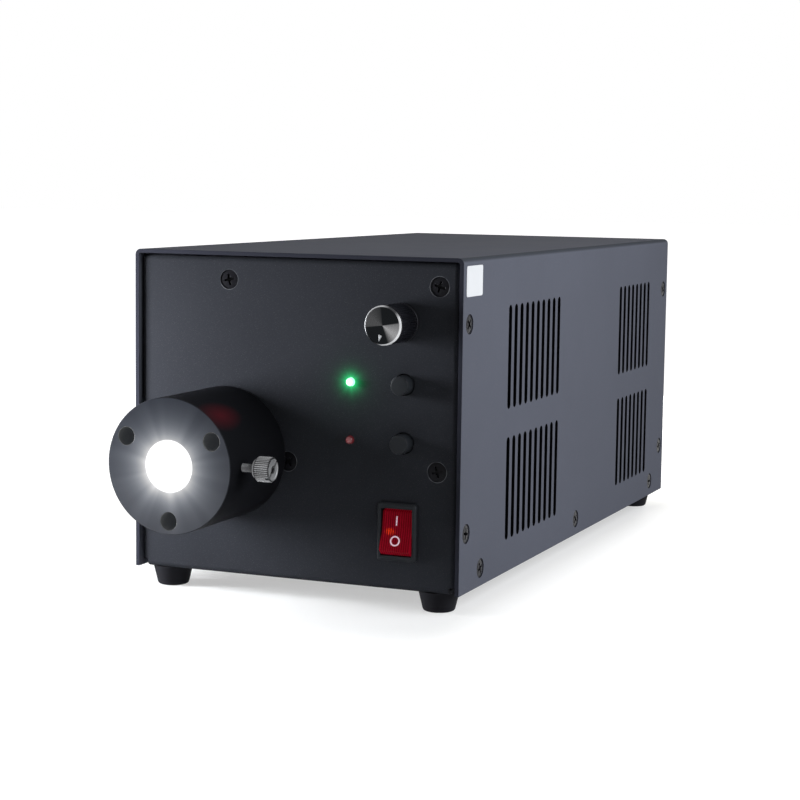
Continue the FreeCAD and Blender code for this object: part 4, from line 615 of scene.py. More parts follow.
def rocker_lens(sizes, colours):
    """Translucent red with upright ribs painted lighter and darker in turn, lit from a lamp behind its left
    half, with painted shade along the paddle's upper left edge.
    """
    finish = Finish("rocker_red", Metallic=0.0, Roughness=0.3, Specular_IOR_Level=0.03)
    low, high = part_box("rocker")
    body = middle("rocker")
    parts = finish.apart(finish.place())
    pitch = (high.x - low.x) / sizes.rocker_ribs
    ribs = finish.maths("SINE", finish.maths("MULTIPLY", finish.maths("SUBTRACT", parts["X"], low.x),
                                             2 * math.pi / pitch))
    lit = finish.ranged(ribs, -0.8, 0.9, 0.0, 1.0)
    left = finish.ranged(parts["X"], low.x, high.x, 1.0, 0.45)
    beads = finish.noise(finish.vector("MULTIPLY", finish.place(), (1.0, 1.0, 1.4)), 1300.0, 0.0)
    beads = finish.ranged(beads, 0.4, 0.6, 0.55, 1.0)
    # Painted light and shade: the ribs are painted lighter and darker in turn.
    tone = finish.mixed(lit, scaled(colours.rocker_red, 0.45), opaque(colours.rocker_red))
    offset = finish.vector("SUBTRACT", finish.place(), body + Vector((-2.3 * MM, 0.0, 0.2 * MM)))
    distance = finish.vector("LENGTH", finish.vector("MULTIPLY", offset, (1.0, 0.0, 1.5)))
    spot = finish.product(finish.ranged(distance, 0.6 * MM, 2.4 * MM, 1.0, 0.0), beads, lit)
    haze = finish.product(lit, left, beads)
    glow = finish.mixed(haze, opaque((0.045, 0.0, 0.001)), opaque((0.20, 0.001, 0.009)))
    glow = finish.mixed(spot, glow, opaque((1.0, 0.055, 0.0)))
    # Painted shade: a dark strip along the paddle's left edge, on its upper part.
    edge = min(vertex.co.x for vertex in NODES["rocker"].data.vertices if vertex.co.y < low.y + MM)
    beside = finish.product(finish.ranged(parts["X"], edge + 0.4 * MM, edge + 0.7 * MM, 1.0, 0.0),
                            finish.ranged(parts["Z"], body.z - 4 * MM, body.z - 1 * MM, 0.0, 1.0))
    tone = finish.mixed(beside, tone, opaque((0.012, 0.001, 0.002)))
    glow = finish.mixed(beside, glow, opaque((0.004, 0.0, 0.0)))
    finish.set(Base_Color=tone, Emission_Color=glow, Emission_Strength=0.9,
               Normal=finish.bump(ribs, 0.03 * MM, 0.3))
    return finish


def lamp_lens(name, node, colour, core, strength, reach):
    """A signal lamp's coloured epoxy, brightest at its core."""
    finish = Finish(name, Metallic=0.0, Roughness=0.12, Specular_IOR_Level=0.5, Base_Color=opaque(colour))
    spot = finish.effect("Turned Rings", Centre=front(node), Pitch=1.0)
    pool = finish.effect("Light Pool", Distance=spot["Distance"], Angle=spot["Angle"],
                         Rim=0.55 * MM, Reach=reach, Rays=0.0)
    grain = finish.effect("Grain", Grain_Size=0.5 * MM)
    glow = finish.mixed(pool["Light"], opaque(colour), opaque(core))
    finish.set(Emission_Color=glow, Emission_Strength=strength,
               Roughness=finish.ranged(grain["Mottle"], 0.3, 0.7, 0.08, 0.18))
    return finish


def clear_glass(sizes, colours):
    finish = Finish("clear_glass", Metallic=0.0, Transmission_Weight=1.0, IOR=1.5,
                    Base_Color=(0.96, 0.98, 1.0, 1.0))
    lines = finish.effect("Drawn Lines", Scale=300.0)
    finish.set(Roughness=finish.ranged(lines["Smudge"], 0.4, 0.8, 0.02, 0.08))
    return finish


def lit_glass(sizes, colours):
    """The window at the bottom of the port, filled with the lamp's light."""
    finish = Finish("port_glass", Metallic=0.0, Roughness=0.1)
    grain = finish.effect("Grain", Grain_Size=0.5 * MM)
    tone = finish.mixed(grain["Mottle"], opaque((0.9, 0.9, 0.9)), WHITE)
    finish.set(Base_Color=tone, Emission_Color=tone, Emission_Strength=3.0)
    return finish


def circuit_board(sizes, colours):
    """Green solder mask over tracks."""
    finish = Finish("board_green", Metallic=0.0, Specular_IOR_Level=0.5)
    place = finish.place()
    tracks = finish.add("TexBrick", {"Vector": place, "Scale": 160.0, "Mortar Size": 0.03}).outputs["Fac"]
    grain = finish.effect("Grain", Grain_Size=0.8 * MM)
    tone = finish.mixed(tracks, opaque((0.012, 0.075, 0.03)), opaque((0.03, 0.16, 0.07)))
    finish.set(Base_Color=tone, Roughness=finish.ranged(grain["Mottle"], 0.3, 0.7, 0.25, 0.4),
               Normal=finish.bump(tracks, 0.03 * MM, 0.4))
    return finish


def build_finishes(sizes, colours):
    """Keeps every finish by the record's slot name, beside some for single pieces."""
    single = {
        "case_paint": case_paint, "panel_paint": panel_paint, "black_anodised": anodised_tube,
        "knob_face": spun_face, "clamp_nickel": nickel_wear_and_shade, "rocker_red": rocker_lens,
        "clear_glass": clear_glass, "port_glass": lit_glass, "board_green": circuit_board,
        "printed_marks": printed_marks,
    }
    lamps = {
        "lamp_green": ("led_green", (0.01, 0.5, 0.12), (0.75, 1.0, 0.85), 4.0, 0.6 * MM),
        # The red lamp is not lit: its glow, brightest at the core, is painted light on its dome.
        "lamp_red": ("led_red", (0.10, 0.012, 0.016), (0.36, 0.09, 0.10), 0.35, 0.5 * MM),
    }
    metals = {
        # The black screws' pale edge colour is partly wear and partly a painted highlight on their rims and
        # recesses.
        "black_screws": ((0.012, 0.012, 0.015), 0.2, EVEN, 1400.0, 0.4, 0.05, 0.0, 0.4, (0.36, 0.36, 0.38)),
        "steel_screws": ((0.62, 0.62, 0.60), 0.3, EVEN, 1200.0),
        "bright_metal": (colours.nickel, 0.16, EVEN, 1500.0, 0.25),
        "knob_black": ((0.009, 0.0095, 0.013), 0.3, (1.0, 0.1, 1.0), 1500.0, 0.4, 0.3, 0.6),
        "sink_metal": ((0.55, 0.56, 0.57), 0.38, (1.0, 0.06, 1.0), 1100.0),
        "zinc_sheet": ((0.58, 0.59, 0.60), 0.36, (1.0, 0.1, 1.0), 700.0),
        "brass": ((0.72, 0.60, 0.32), 0.28, (1.0, 1.0, 0.1), 1100.0),
    }
    mouldings = {
        "rubber": ((0.011, 0.011, 0.014), 0.72, 0.35 * MM, 0.1),
        "black_plastic": ((0.0210, 0.0235, 0.0275), 0.4, 0.3 * MM, 0.1, 0.6),
        "nylon": ((0.72, 0.70, 0.63), 0.45, 0.4 * MM),
        "part_black": ((0.03, 0.03, 0.034), 0.4, 0.5 * MM),
        "emitter_yellow": ((0.85, 0.72, 0.18), 0.5, 0.4 * MM),
        "wire_cover": ((0.03, 0.03, 0.035), 0.4, 0.6 * MM),
        "label_paper": ((0.66, 0.67, 0.69), 0.4, 0.5 * MM, 0.3, 0.1),
    }
    finishes = {name: build(sizes, colours) for name, build in single.items()}
    for build, table in ((lamp_lens, lamps), (plain_metal, metals), (moulded, mouldings)):
        finishes.update({name: build(name, *values) for name, values in table.items()})
    FINISHES.update({name: finish.material for name, finish in finishes.items()})


# Modelling helpers

def start_shape(add, **settings):
    """Adds a primitive with nothing else selected, and opens it for editing."""
    if bpy.context.object is not None and bpy.context.object.mode != "OBJECT":
        bpy.ops.object.mode_set(mode="OBJECT")
    bpy.ops.object.select_all(action="DESELECT")
    add(**settings)
    bpy.ops.object.mode_set(mode="EDIT")
    bpy.ops.mesh.select_all(action="SELECT")


def choose(kind, test):
    """Selects the vertices, edges or faces of the open mesh that pass a test."""
    bpy.ops.mesh.select_mode(type=kind)
    bpy.ops.mesh.select_all(action="DESELECT")
    mesh = bmesh.from_edit_mesh(bpy.context.object.data)
    mesh.normal_update()
    items = {"VERT": mesh.verts, "EDGE": mesh.edges, "FACE": mesh.faces}[kind]
    count = 0
    for item in items:
        if test(item):
            item.select_set(True)
            count += 1
    mesh.select_flush_mode()
    bmesh.update_edit_mesh(bpy.context.object.data)
    if count == 0:
        raise RuntimeError("nothing was selected on " + bpy.context.object.name)


def finish_shape(name, node, finish, replaces=(), place=None, smooth=35.0):
    """Closes the open mesh, sets it in place, smooths it and rides it on its node's body."""
    bpy.ops.mesh.select_all(action="SELECT")
    bpy.ops.object.mode_set(mode="OBJECT")
    piece = bpy.context.object
    piece.name = name
    piece.data.name = name
    if place is not None:
        piece.matrix_world = place @ piece.matrix_world
    bpy.ops.object.transform_apply(location=True, rotation=True, scale=True)
    bpy.ops.object.shade_smooth_by_angle(angle=math.radians(smooth))
    piece.data.materials.clear()
    piece.data.materials.append(FINISHES[finish])
    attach(piece, BODY_OF[node])
    if replaces:
        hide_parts(*replaces)
    return piece


def apply_modifier(kind, **settings):
    """Adds a modifier to the active object with its settings and applies it."""
    bpy.ops.object.mode_set(mode="OBJECT")
    bpy.ops.object.modifier_add(type=kind)
    modifier = bpy.context.object.modifiers[-1]
    for name, value in settings.items():
        setattr(modifier, name, value)
    bpy.ops.object.modifier_apply(modifier=modifier.name)
    bpy.ops.object.mode_set(mode="EDIT")


def lathe(outline, steps, closed=False):
    """Turns an outline of (radius, height) points about Z, from pole to pole or as a closed ring."""
    radius, height = outline[0]
    start_shape(bpy.ops.mesh.primitive_plane_add, size=MM, location=(0, 0, 0))
    bpy.ops.mesh.merge(type="CENTER")
    bpy.ops.transform.translate(value=(radius, 0, height))
    turns = outline[1:] + (outline[:1] if closed else [])
    for next_radius, next_height in turns:
        step = (next_radius - radius, 0, next_height - height)
        bpy.ops.mesh.extrude_region_move(TRANSFORM_OT_translate={"value": step})
        radius, height = next_radius, next_height
    bpy.ops.mesh.select_all(action="SELECT")
    bpy.ops.mesh.spin(steps=steps, angle=2 * math.pi, center=(0, 0, 0), axis=(0, 0, 1))
    bpy.ops.mesh.select_all(action="SELECT")
    bpy.ops.mesh.remove_doubles(threshold=0.001 * MM)
    bpy.ops.mesh.normals_make_consistent(inside=False)


def thicken(height):
    """Draws the open flat shape up into a closed slab."""
    bpy.ops.mesh.extrude_region_move(TRANSFORM_OT_translate={"value": (0, 0, height)})
    bpy.ops.mesh.select_all(action="SELECT")
    bpy.ops.mesh.normals_make_consistent(inside=False)


def ridges(start, stop, crest, root, pitch):
    """The outline of a thread's ridges between two heights, from its first crest on."""
    points = []
    for turn in range(int((stop - start) / pitch)):
        points += [(crest, start + (turn + 0.5) * pitch), (root, start + (turn + 1) * pitch)]
    return points


def pull_teeth(count, depth, low, high, least_radius):
    """Draws every second line of a turned band inward, which leaves straight teeth."""
    def between_teeth(vertex):
        radius = math.hypot(vertex.co.x, vertex.co.y)
        turn = math.atan2(vertex.co.y, vertex.co.x) / (math.pi / count)
        return low <= vertex.co.z <= high and radius > least_radius and round(turn) % 2 == 1
    choose("VERT", between_teeth)
    mesh = bmesh.from_edit_mesh(bpy.context.object.data)
    radius = max(math.hypot(v.co.x, v.co.y) for v in mesh.verts if v.select)
    share = (radius - depth) / radius
    bpy.ops.transform.resize(value=(share, share, 1.0), center_override=(0, 0, 0))


def facing(place, direction, turn=0.0):
    """A matrix that stands a shape drawn along +Z at a place, along a direction, turned about itself."""
    swing = Vector((0, 0, 1)).rotation_difference(Vector(direction)).to_matrix().to_4x4()
    return Matrix.Translation(place) @ swing @ Matrix.Rotation(turn, 4, "Z")


# Copies of the frame's own shapes, softened

def copy_node(node):
    """A merged copy of a node's mesh, open for editing with everything selected."""
    if bpy.context.object is not None and bpy.context.object.mode != "OBJECT":
        bpy.ops.object.mode_set(mode="OBJECT")
    bpy.ops.object.select_all(action="DESELECT")
    piece = bpy.data.objects.new(node + "_copy", NODES[node].data.copy())
    bpy.context.scene.collection.objects.link(piece)
    bpy.context.view_layer.objects.active = piece
    piece.select_set(True)
    bpy.ops.object.mode_set(mode="EDIT")
    bpy.ops.mesh.select_mode(type="VERT")
    bpy.ops.mesh.select_all(action="SELECT")
    bpy.ops.mesh.remove_doubles(threshold=0.002 * MM)
    bpy.ops.mesh.normals_make_consistent(inside=False)
    return piece


def soften(radius, segments=2, angle=32.0):
    """Joins flat triangles into faces and rounds every sharp edge of the open mesh."""
    bpy.ops.mesh.select_all(action="SELECT")
    bpy.ops.mesh.dissolve_limited(angle_limit=math.radians(0.6))
    apply_modifier("BEVEL", width=radius, segments=segments, limit_method="ANGLE",
                   angle_limit=math.radians(angle), use_clamp_overlap=True, harden_normals=False)


def solid_boxes(node):
    """The lowest and highest corner of each separate solid of a node."""
    mesh = bmesh.new()
    mesh.from_mesh(NODES[node].data)
    bmesh.ops.remove_doubles(mesh, verts=mesh.verts, dist=0.002 * MM)
    boxes = []
    left = set(mesh.verts)
    while left:
        pending = [left.pop()]
        found = []
        while pending:
            vertex = pending.pop()
            found.append(vertex.co.copy())
            for edge in vertex.link_edges:
                other = edge.other_vert(vertex)
                if other in left:
                    left.remove(other)
                    pending.append(other)
        low = Vector([min(co[axis] for co in found) for axis in range(3)])
        high = Vector([max(co[axis] for co in found) for axis in range(3)])
        boxes.append((low, high))
    mesh.free()
    return sorted(boxes, key=lambda box: tuple(round(value, 5) for value in box[0]))


def cut_with(cutter):
    """Cuts one closed object out of the active one and removes the cutter."""
    piece = bpy.context.view_layer.objects.active
    modifier = piece.modifiers.new("cut", "BOOLEAN")
    modifier.object = cutter
    modifier.operation = "DIFFERENCE"
    modifier.solver = "EXACT"
    bpy.ops.object.modifier_apply(modifier=modifier.name)
    bpy.data.objects.remove(cutter)


def block_cutter(size, place, turn=0.0):
    """A plain block that cuts a slot or a recess, turned about Z."""
    piece = bpy.context.view_layer.objects.active
    bpy.ops.object.select_all(action="DESELECT")
    bpy.ops.mesh.primitive_cube_add(size=1.0, location=place, rotation=(0, 0, turn))
    cutter = bpy.context.object
    cutter.scale = size
    bpy.ops.object.transform_apply(location=True, rotation=True, scale=True)
    bpy.context.view_layer.objects.active = piece
    piece.select_set(True)
    return cutter


# Pieces

def thumbscrew_outline(length, radius):
    """From the bore in the tip, over a ridged thread, the neck and the head, to the slotted end."""
    bore_radius, bore_depth = 0.7 * MM, 2.6 * MM
    crest, root, pitch = 1.5 * MM, 1.25 * MM, 0.5 * MM
    neck_radius, neck_length = 3.4 * MM, 1.0 * MM
    head_length, chamfer = 6.9 * MM, 0.5 * MM
    head = length - head_length
    shoulder = head + neck_length
    neck_edge, dish = 0.2 * MM, 0.15 * MM
    outline = [(0, bore_depth), (bore_radius, bore_depth), (bore_radius, 0), (root, 0)]
    outline += ridges(0.0, head - pitch, crest, root, pitch)
    outline += [
        (root, head), (neck_radius - neck_edge, head), (neck_radius, head + neck_edge),
        (neck_radius, shoulder), (radius - chamfer, shoulder), (radius, shoulder + chamfer),
        (radius, length - chamfer), (radius - 0.8 * chamfer, length), (radius - 2.2 * chamfer, length),
        (radius - 2.6 * chamfer, length - dish), (0, length - dish),
    ]
    return outline, shoulder + chamfer, length - chamfer


def build_thumbscrew(sizes):
    low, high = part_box("thumbscrew")
    length, radius = high.x - low.x, (high.z - low.z) / 2
    outline, band_start, band_end = thumbscrew_outline(length, radius)
    lathe(outline, 2 * sizes.screw_teeth)
    slack = 0.01 * MM
    pull_teeth(sizes.screw_teeth, 0.28 * MM, band_start - slack, band_end + slack, 0.9 * radius)
    bpy.ops.object.mode_set(mode="OBJECT")
    slot_width, slot_depth, slot_angle = 1.1 * MM, 1.6 * MM, math.radians(-48)
    place = (0, 0, length - slot_depth / 2 + slack)
    cut_with(block_cutter((3 * radius, slot_width, slot_depth), place, slot_angle))
    bpy.ops.object.mode_set(mode="EDIT")
    axis = Vector((low.x, (low.y + high.y) / 2, (low.z + high.z) / 2))
    finish_shape("clamp_thumbscrew", "thumbscrew", "clamp_nickel", ("thumbscrew",),
                 facing(axis, (1, 0, 0)), 30)


def build_knob(sizes):
    """The toothed grip, the spun cap with its bright edge, the foot ring and the pointer."""
    low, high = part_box("knob")
    radius, length = half_width("knob"), high.y - low.y
    bore, bore_depth = 6.1 * MM, 6.5 * MM
    edge = 0.3 * MM
    lathe([(0, bore_depth), (bore, bore_depth), (bore, 0), (radius - edge, 0), (radius, edge),
           (radius, length - edge), (radius - edge, length), (0, length)], 2 * sizes.knob_teeth)
    slack = 0.01 * MM
    pull_teeth(sizes.knob_teeth, 0.38 * MM, edge - slack, length - edge + slack, 0.99 * radius)
    finish_shape("knob_grip", "knob", "knob_black", ("knob",),
                 facing(rear("knob"), FORWARD), 30)

    low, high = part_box("knob_cap")
    thickness, chamfer = high.y - low.y, sizes.cap_chamfer
    groove, dip, step = 0.4 * MM, 0.012 * MM, 0.05 * MM
    inner = radius - chamfer - 3 * step
    outline = [(0, 0), (radius, 0), (radius, thickness - chamfer), (radius - chamfer, thickness - step),
               (inner + step, thickness)]
    for ring in range(int(inner / groove)):
        outline += [(inner - (ring + 0.5) * groove, thickness - dip),
                    (inner - (ring + 0.9) * groove, thickness)]
    outline.append((0, thickness))
    lathe(outline, FINE_STEPS)
    finish_shape("knob_disc", "knob_cap", "knob_face", ("knob_cap",),
                 facing(rear("knob_cap"), FORWARD), 30)

    low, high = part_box("knob_skirt")
    thickness, edge = high.y - low.y, 0.2 * MM
    lathe([(bore, 0), (radius - edge, 0), (radius, edge), (radius, thickness - edge),
           (radius - edge, thickness), (bore, thickness)], FINE_STEPS, closed=True)
    finish_shape("knob_foot_ring", "knob_skirt", "knob_black", ("knob_skirt",),
                 facing(rear("knob_skirt"), FORWARD), 30)
    build_pointer(sizes)


def build_pointer(sizes):
    """A printed wedge near the knob's rim, its tip outward."""
    cap = front("knob_cap")
    tip_radius, lean = 5.75 * MM, math.radians(-13)
    start_shape(bpy.ops.mesh.primitive_circle_add, vertices=3, radius=MM, fill_type="NGON")
    mesh = bmesh.from_edit_mesh(bpy.context.object.data)
    base, half = sizes.pointer_length - tip_radius, sizes.pointer_width / 2
    corners = ((0, -tip_radius), (half, base), (-half, base))
    for vertex, (x, y) in zip(mesh.verts, corners):
        vertex.co = (x, y, 0)
    bmesh.update_edit_mesh(bpy.context.object.data)
    bpy.ops.mesh.select_all(action="SELECT")
    thicken(sizes.mark_proud)
    upright = Matrix.Rotation(math.radians(90), 4, "X")
    place = Matrix.Translation(cap) @ Matrix.Rotation(-lean, 4, "Y") @ upright
    finish_shape("knob_pointer", "knob_cap", "label_paper", (), place, 30)


def build_buttons():
    """Two push caps with softly rounded faces."""
    for node in ("upper_button", "lower_button"):
        copy_node(node)
        soften(0.28 * MM, 3)
        name = node.replace("button", "push_cap")
        finish_shape(name, node, "black_plastic", (node,))


def build_springs():
    """The buttons' two return springs, each copied from the frame with a mesh of its own."""
    for side in ("upper", "lower"):
        node = side + "_button_spring"
        copy_node(node)
        slot = NODE_SLOTS[node]
        spring = finish_shape(side + "_return_spring", node, slot, (node,))
        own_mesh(spring)


def build_rocker(sizes):
    """The rocker with its chamfered paddle, and its two printed marks."""
    copy_node("rocker")
    soften(0.5 * MM, 2, 20.0)
    paddle = finish_shape("rocker_paddle", "rocker", "rocker_red", ("rocker",), None, 25)
    centre = middle("rocker")
    far = 50 * MM
    marks = (("rocker_mark_on", 4.2 * MM, shape_bar), ("rocker_mark_off", -2.9 * MM, shape_ring))
    for name, rise, build in marks:
        start = Vector((centre.x, centre.y - far, middle("switch_housing").z + rise))
        hit, spot, normal, _ = paddle.ray_cast(start, -FORWARD)
        if not hit:
            raise RuntimeError("the rocker isn't in front of its mark")
        build(sizes)
        across = Vector((1, 0, 0))
        up = normal.cross(across).normalized()
        turn = Matrix((across, up, normal)).transposed().to_4x4()
        place = Matrix.Translation(spot) @ turn
        finish_shape(name, "rocker", "printed_marks", (), place, 30)


def shape_bar(sizes):
    start_shape(bpy.ops.mesh.primitive_plane_add, size=1.0)
    bpy.ops.transform.resize(value=(sizes.mark_stroke, 0.92 * sizes.mark_height, 1.0))
    thicken(sizes.mark_proud)
    apply_modifier("BEVEL", width=0.3 * sizes.mark_stroke, segments=3, affect="EDGES", limit_method="ANGLE")


def shape_ring(sizes):
    outer = sizes.mark_height / 2
    inner = outer - sizes.mark_stroke
    lathe([(inner, 0), (outer, 0), (outer, sizes.mark_proud), (inner, sizes.mark_proud)], 64, closed=True)


def build_bezel():
    copy_node("switch_housing")
    soften(0.3 * MM, 3)
    finish_shape("switch_bezel", "switch_housing", "black_plastic", ("switch_housing",))


def screw_master(radius, length):
    """A countersunk screw standing on its shank: crowned head, cross recess and ridged shank."""
    crown, rim, taper = 0.3 * MM, 0.25 * MM, 1.7 * MM
    shank, root, pitch, tip = 1.5 * MM, 1.25 * MM, 0.5 * MM, 0.5 * MM
    top = length - 0.06 * MM
    neck = top - crown - rim - taper
    outline = [(0, 0), (root, 0)] + ridges(tip, neck, shank, root, pitch)
    outline += [(shank, neck), (radius - 0.05 * MM, top - crown - rim), (radius, top - crown - 0.5 * rim),
                (radius - 0.08 * MM, top - crown), (radius - 0.35 * MM, top - 0.85 * crown)]
    outline += [(share * radius, top - crown * share ** 2) for share in (0.75, 0.5, 0.25)]
    outline.append((0, top))
    lathe(outline, 40)
    bpy.ops.object.mode_set(mode="OBJECT")
    wing, breadth, heart, depth, slack = 2.1 * MM, 0.85 * MM, 1.7 * MM, 1.5 * MM, 0.5 * MM
    place = (0, 0, top + (slack - depth) / 2)
    for turn in (0.0, math.radians(90)):
        cut_with(block_cutter((2 * wing, breadth, depth + slack), place, turn))
    cut_with(block_cutter((heart, heart, depth + slack), place, math.radians(45)))
    bpy.ops.object.mode_set(mode="EDIT")
    apply_modifier("BEVEL", width=0.07 * MM, segments=2, limit_method="ANGLE", angle_limit=math.radians(55))
    bpy.ops.object.mode_set(mode="OBJECT")
    return bpy.context.object


def build_screw_heads(node, name, axis):
    """One crowned cross-head screw for each of a node's, modelled once and copied."""
    boxes = solid_boxes(node)
    across = 2 if axis.x else 0
    radius = (boxes[0][1][across] - boxes[0][0][across]) / 2
    length = abs((boxes[0][1] - boxes[0][0]).dot(axis))
    master = screw_master(radius, length)
    copies = []
    for index, (low, high) in enumerate(boxes):
        centre = (low + high) / 2
        outward = axis * math.copysign(1.0, centre.dot(axis))
        seat = centre - outward * length / 2
        copy = bpy.data.objects.new(name, master.data.copy())
        bpy.context.scene.collection.objects.link(copy)
        copy.matrix_world = facing(seat, outward, math.radians(31 * index + 12))
        copies.append(copy)
    bpy.data.objects.remove(master)
    bpy.ops.object.select_all(action="DESELECT")
    for copy in copies:
        copy.select_set(True)
    bpy.context.view_layer.objects.active = copies[0]
    bpy.ops.object.transform_apply(location=True, rotation=True, scale=True)
    bpy.ops.object.join()
    bpy.ops.object.mode_set(mode="EDIT")
    finish_shape(name, node, "black_screws", (node,), None, 30)


def build_label(sizes):
    """A blank sticker with rounded corners, a hair's breadth off the cover."""
    low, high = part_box("blank_label")
    start_shape(bpy.ops.mesh.primitive_plane_add, size=1.0)
    bpy.ops.transform.resize(value=(high.y - low.y, high.z - low.z, 1.0))
    thicken(high.x - low.x)

    def upright(edge):
        first, second = edge.verts
        return abs(first.co.z - second.co.z) > 0.5 * (high.x - low.x)
    choose("EDGE", upright)
    bpy.ops.mesh.bevel(offset=sizes.label_corner, segments=8)
    turn = Matrix(((0, 0, 1), (1, 0, 0), (0, 1, 0))).to_4x4()
    centre = Vector((low.x, (low.y + high.y) / 2, (low.z + high.z) / 2))
    finish_shape("blank_sticker", "blank_label", "label_paper", ("blank_label",),
                 Matrix.Translation(centre) @ turn, 30)


# Operators

class ILLUMINATOR_OT_finishes(bpy.types.Operator):
    """Builds the finishes and paints every node of the frame with its slot's finish"""

    bl_idname = "illuminator.finishes"
    bl_label = "Finishes"

    def execute(self, context):
        for build in (build_grain, build_edge_wear, build_turned, build_light_pool, build_brushed,
                      build_dust):
            build()
        build_finishes(context.scene.illuminator_sizes, context.scene.illuminator_finishes)
        for node, slot in NODE_SLOTS.items():
            materials = NODES[node].data.materials
            materials.clear()
            materials.append(FINISHES["port_glass" if node == "port_window" else slot])
        return {"FINISHED"}


class ILLUMINATOR_OT_stage(bpy.types.Operator):
    """Sets the pale floor, the soft lamps, the white surroundings and the camera"""

    bl_idname = "illuminator.stage"
    bl_label = "Stage"

    def execute(self, context):
        self.add_floor()
        self.add_world(context)
        for name, place, aim, size, power, colour, spread in LAMPS:
            self.add_lamp(context, name, Vector(place), Vector(aim), size, power, colour, spread)
        self.add_camera(context)
        return {"FINISHED"}

    def add_floor(self):
        """The floor, shaded close to the case and white beyond."""
        bpy.ops.object.select_all(action="DESELECT")
        bpy.ops.mesh.primitive_plane_add(size=12.0, location=(0, 0, 0))
        floor = bpy.context.object
        floor.name = "floor"
        wiring = Finish("pale_floor", Roughness=0.9, Base_Color=opaque((0.52, 0.52, 0.52)),
                        Emission_Color=WHITE)
        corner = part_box("cover")[1]
        offset = wiring.vector("SUBTRACT", wiring.vector("ABSOLUTE", wiring.place()),
                               (corner.x, corner.y, 0.0))
        away = wiring.vector("LENGTH", wiring.vector("MAXIMUM", offset, (0.0, 0.0, 0.0)))
        white = wiring.ranged(away, 0.0, FLOOR_FADE, FLOOR_SHADE, 1.0)
        wiring.set(Emission_Strength=wiring.product(self.seen(wiring), white))
        floor.data.materials.append(wiring.material)

    def seen(self, wiring):
        """One for rays from the camera, from gloss and through glass, and zero for the rest."""
        path = wiring.add("LightPath").outputs
        shown = wiring.maths("ADD", path["Is Camera Ray"], path["Is Glossy Ray"], clamp=True)
        return wiring.maths("ADD", shown, path["Is Transmission Ray"], clamp=True)

    def add_world(self, context):
        world = bpy.data.worlds.new("surroundings")
        world.use_nodes = True
        context.scene.world = world
        wiring = Wiring(world.node_tree)
        background = world.node_tree.nodes["Background"]
        background.inputs["Color"].default_value = WHITE
        strength = wiring.ranged(self.seen(wiring), 0.0, 1.0, WORLD_LIGHT, 1.0)
        wiring.feed(background.inputs["Strength"], strength)

    def add_lamp(self, context, name, place, aim, size, power, colour, spread):
        lamp = bpy.data.lights.new(name, "AREA")
        lamp.shape = "RECTANGLE"
        lamp.size, lamp.size_y = size
        lamp.spread = math.radians(spread)
        lamp.energy = power
        lamp.color = colour
        holder = bpy.data.objects.new(name, lamp)
        context.scene.collection.objects.link(holder)
        holder.location = place
        holder.visible_camera = False
        holder.rotation_euler = (aim - place).to_track_quat("-Z", "Y").to_euler()

    def add_camera(self, context):
        azimuth, elevation, roll = (math.radians(angle) for angle in CAMERA_TURNS)
        away = Vector((-math.sin(azimuth) * math.cos(elevation),
                       math.cos(azimuth) * math.cos(elevation), -math.sin(elevation)))
        level = away.cross(Vector((0, 0, 1))).normalized()
        upright = level.cross(away)
        right = level * math.cos(roll) + upright * math.sin(roll)
        up = upright * math.cos(roll) - level * math.sin(roll)
        camera = bpy.data.objects.new("camera", bpy.data.cameras.new("camera"))
        context.scene.collection.objects.link(camera)
        turn = Matrix((right, up, -away)).transposed().to_4x4()
        camera.matrix_world = Matrix.Translation(CAMERA_PLACE) @ turn
        camera.data.lens = CAMERA_LENS
        camera.data.clip_start = 0.05
        context.scene.camera = camera
        context.scene.view_settings.view_transform = "Standard"


class ILLUMINATOR_OT_thumbscrew(bpy.types.Operator):
    """Models the toothed clamp screw with its ridged thread and slot"""

    bl_idname = "illuminator.thumbscrew"
    bl_label = "Clamp screw"

    def execute(self, context):
        build_thumbscrew(context.scene.illuminator_sizes)
        return {"FINISHED"}


class ILLUMINATOR_OT_knob(bpy.types.Operator):
    """Models the dimmer knob: grip, spun disc, foot ring and pointer"""

    bl_idname = "illuminator.knob"
    bl_label = "Knob"

    def execute(self, context):
        build_knob(context.scene.illuminator_sizes)
        return {"FINISHED"}


class ILLUMINATOR_OT_switch(bpy.types.Operator):
    """Models the power switch: bezel, rocker and its marks"""

    bl_idname = "illuminator.switch"
    bl_label = "Power switch"

    def execute(self, context):
        build_bezel()
        build_rocker(context.scene.illuminator_sizes)
        return {"FINISHED"}


class ILLUMINATOR_OT_buttons(bpy.types.Operator):
    """Models the two push buttons and their return springs"""

    bl_idname = "illuminator.buttons"
    bl_label = "Push buttons"

    def execute(self, context):
        build_buttons()
        build_springs()
        return {"FINISHED"}


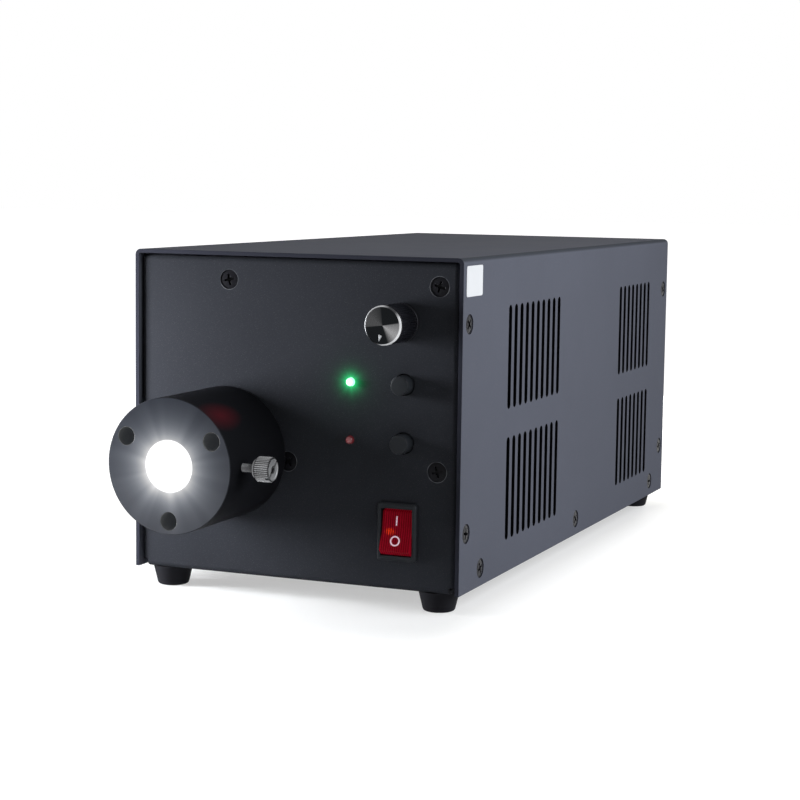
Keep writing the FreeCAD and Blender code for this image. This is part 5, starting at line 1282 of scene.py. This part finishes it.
class ILLUMINATOR_OT_screws(bpy.types.Operator):
    """Models the crowned heads of the panel's and the cover's screws"""

    bl_idname = "illuminator.screws"
    bl_label = "Case screws"

    def execute(self, context):
        build_screw_heads("panel_screws", "panel_cross_screws", Vector((0, 1, 0)))
        build_screw_heads("cover_screws", "cover_cross_screws", Vector((1, 0, 0)))
        return {"FINISHED"}


class ILLUMINATOR_OT_label(bpy.types.Operator):
    """Models the blank sticker on the cover's side"""

    bl_idname = "illuminator.label"
    bl_label = "Sticker"

    def execute(self, context):
        build_label(context.scene.illuminator_sizes)
        return {"FINISHED"}


OPERATORS = (
    ILLUMINATOR_OT_finishes,
    ILLUMINATOR_OT_thumbscrew,
    ILLUMINATOR_OT_knob,
    ILLUMINATOR_OT_switch,
    ILLUMINATOR_OT_buttons,
    ILLUMINATOR_OT_screws,
    ILLUMINATOR_OT_label,
    ILLUMINATOR_OT_stage,
)


class ILLUMINATOR_PT_panel(bpy.types.Panel):
    """The steps that dress the frame, and their sizes and colours"""

    bl_idname = "ILLUMINATOR_PT_panel"
    bl_label = "Illuminator"
    bl_space_type = "VIEW_3D"
    bl_region_type = "UI"
    bl_category = "Illuminator"

    def draw(self, context):
        for operator in OPERATORS:
            self.layout.operator(operator.bl_idname)
        for settings in (context.scene.illuminator_sizes, context.scene.illuminator_finishes):
            for name in settings.__annotations__:
                self.layout.prop(settings, name)


CLASSES = (IlluminatorSizes, IlluminatorFinishes) + OPERATORS + (ILLUMINATOR_PT_panel,)


def register():
    for item in CLASSES:
        bpy.utils.register_class(item)
    bpy.types.Scene.illuminator_sizes = PointerProperty(type=IlluminatorSizes)
    bpy.types.Scene.illuminator_finishes = PointerProperty(type=IlluminatorFinishes)


def unregister():
    del bpy.types.Scene.illuminator_finishes
    del bpy.types.Scene.illuminator_sizes
    for item in reversed(CLASSES):
        bpy.utils.unregister_class(item)


def main():
    register()
    bpy.ops.illuminator.finishes()
    bpy.ops.illuminator.thumbscrew()
    bpy.ops.illuminator.knob()
    bpy.ops.illuminator.switch()
    bpy.ops.illuminator.buttons()
    bpy.ops.illuminator.screws()
    bpy.ops.illuminator.label()
    bpy.ops.illuminator.stage()


if __name__ == "__main__":
    main()
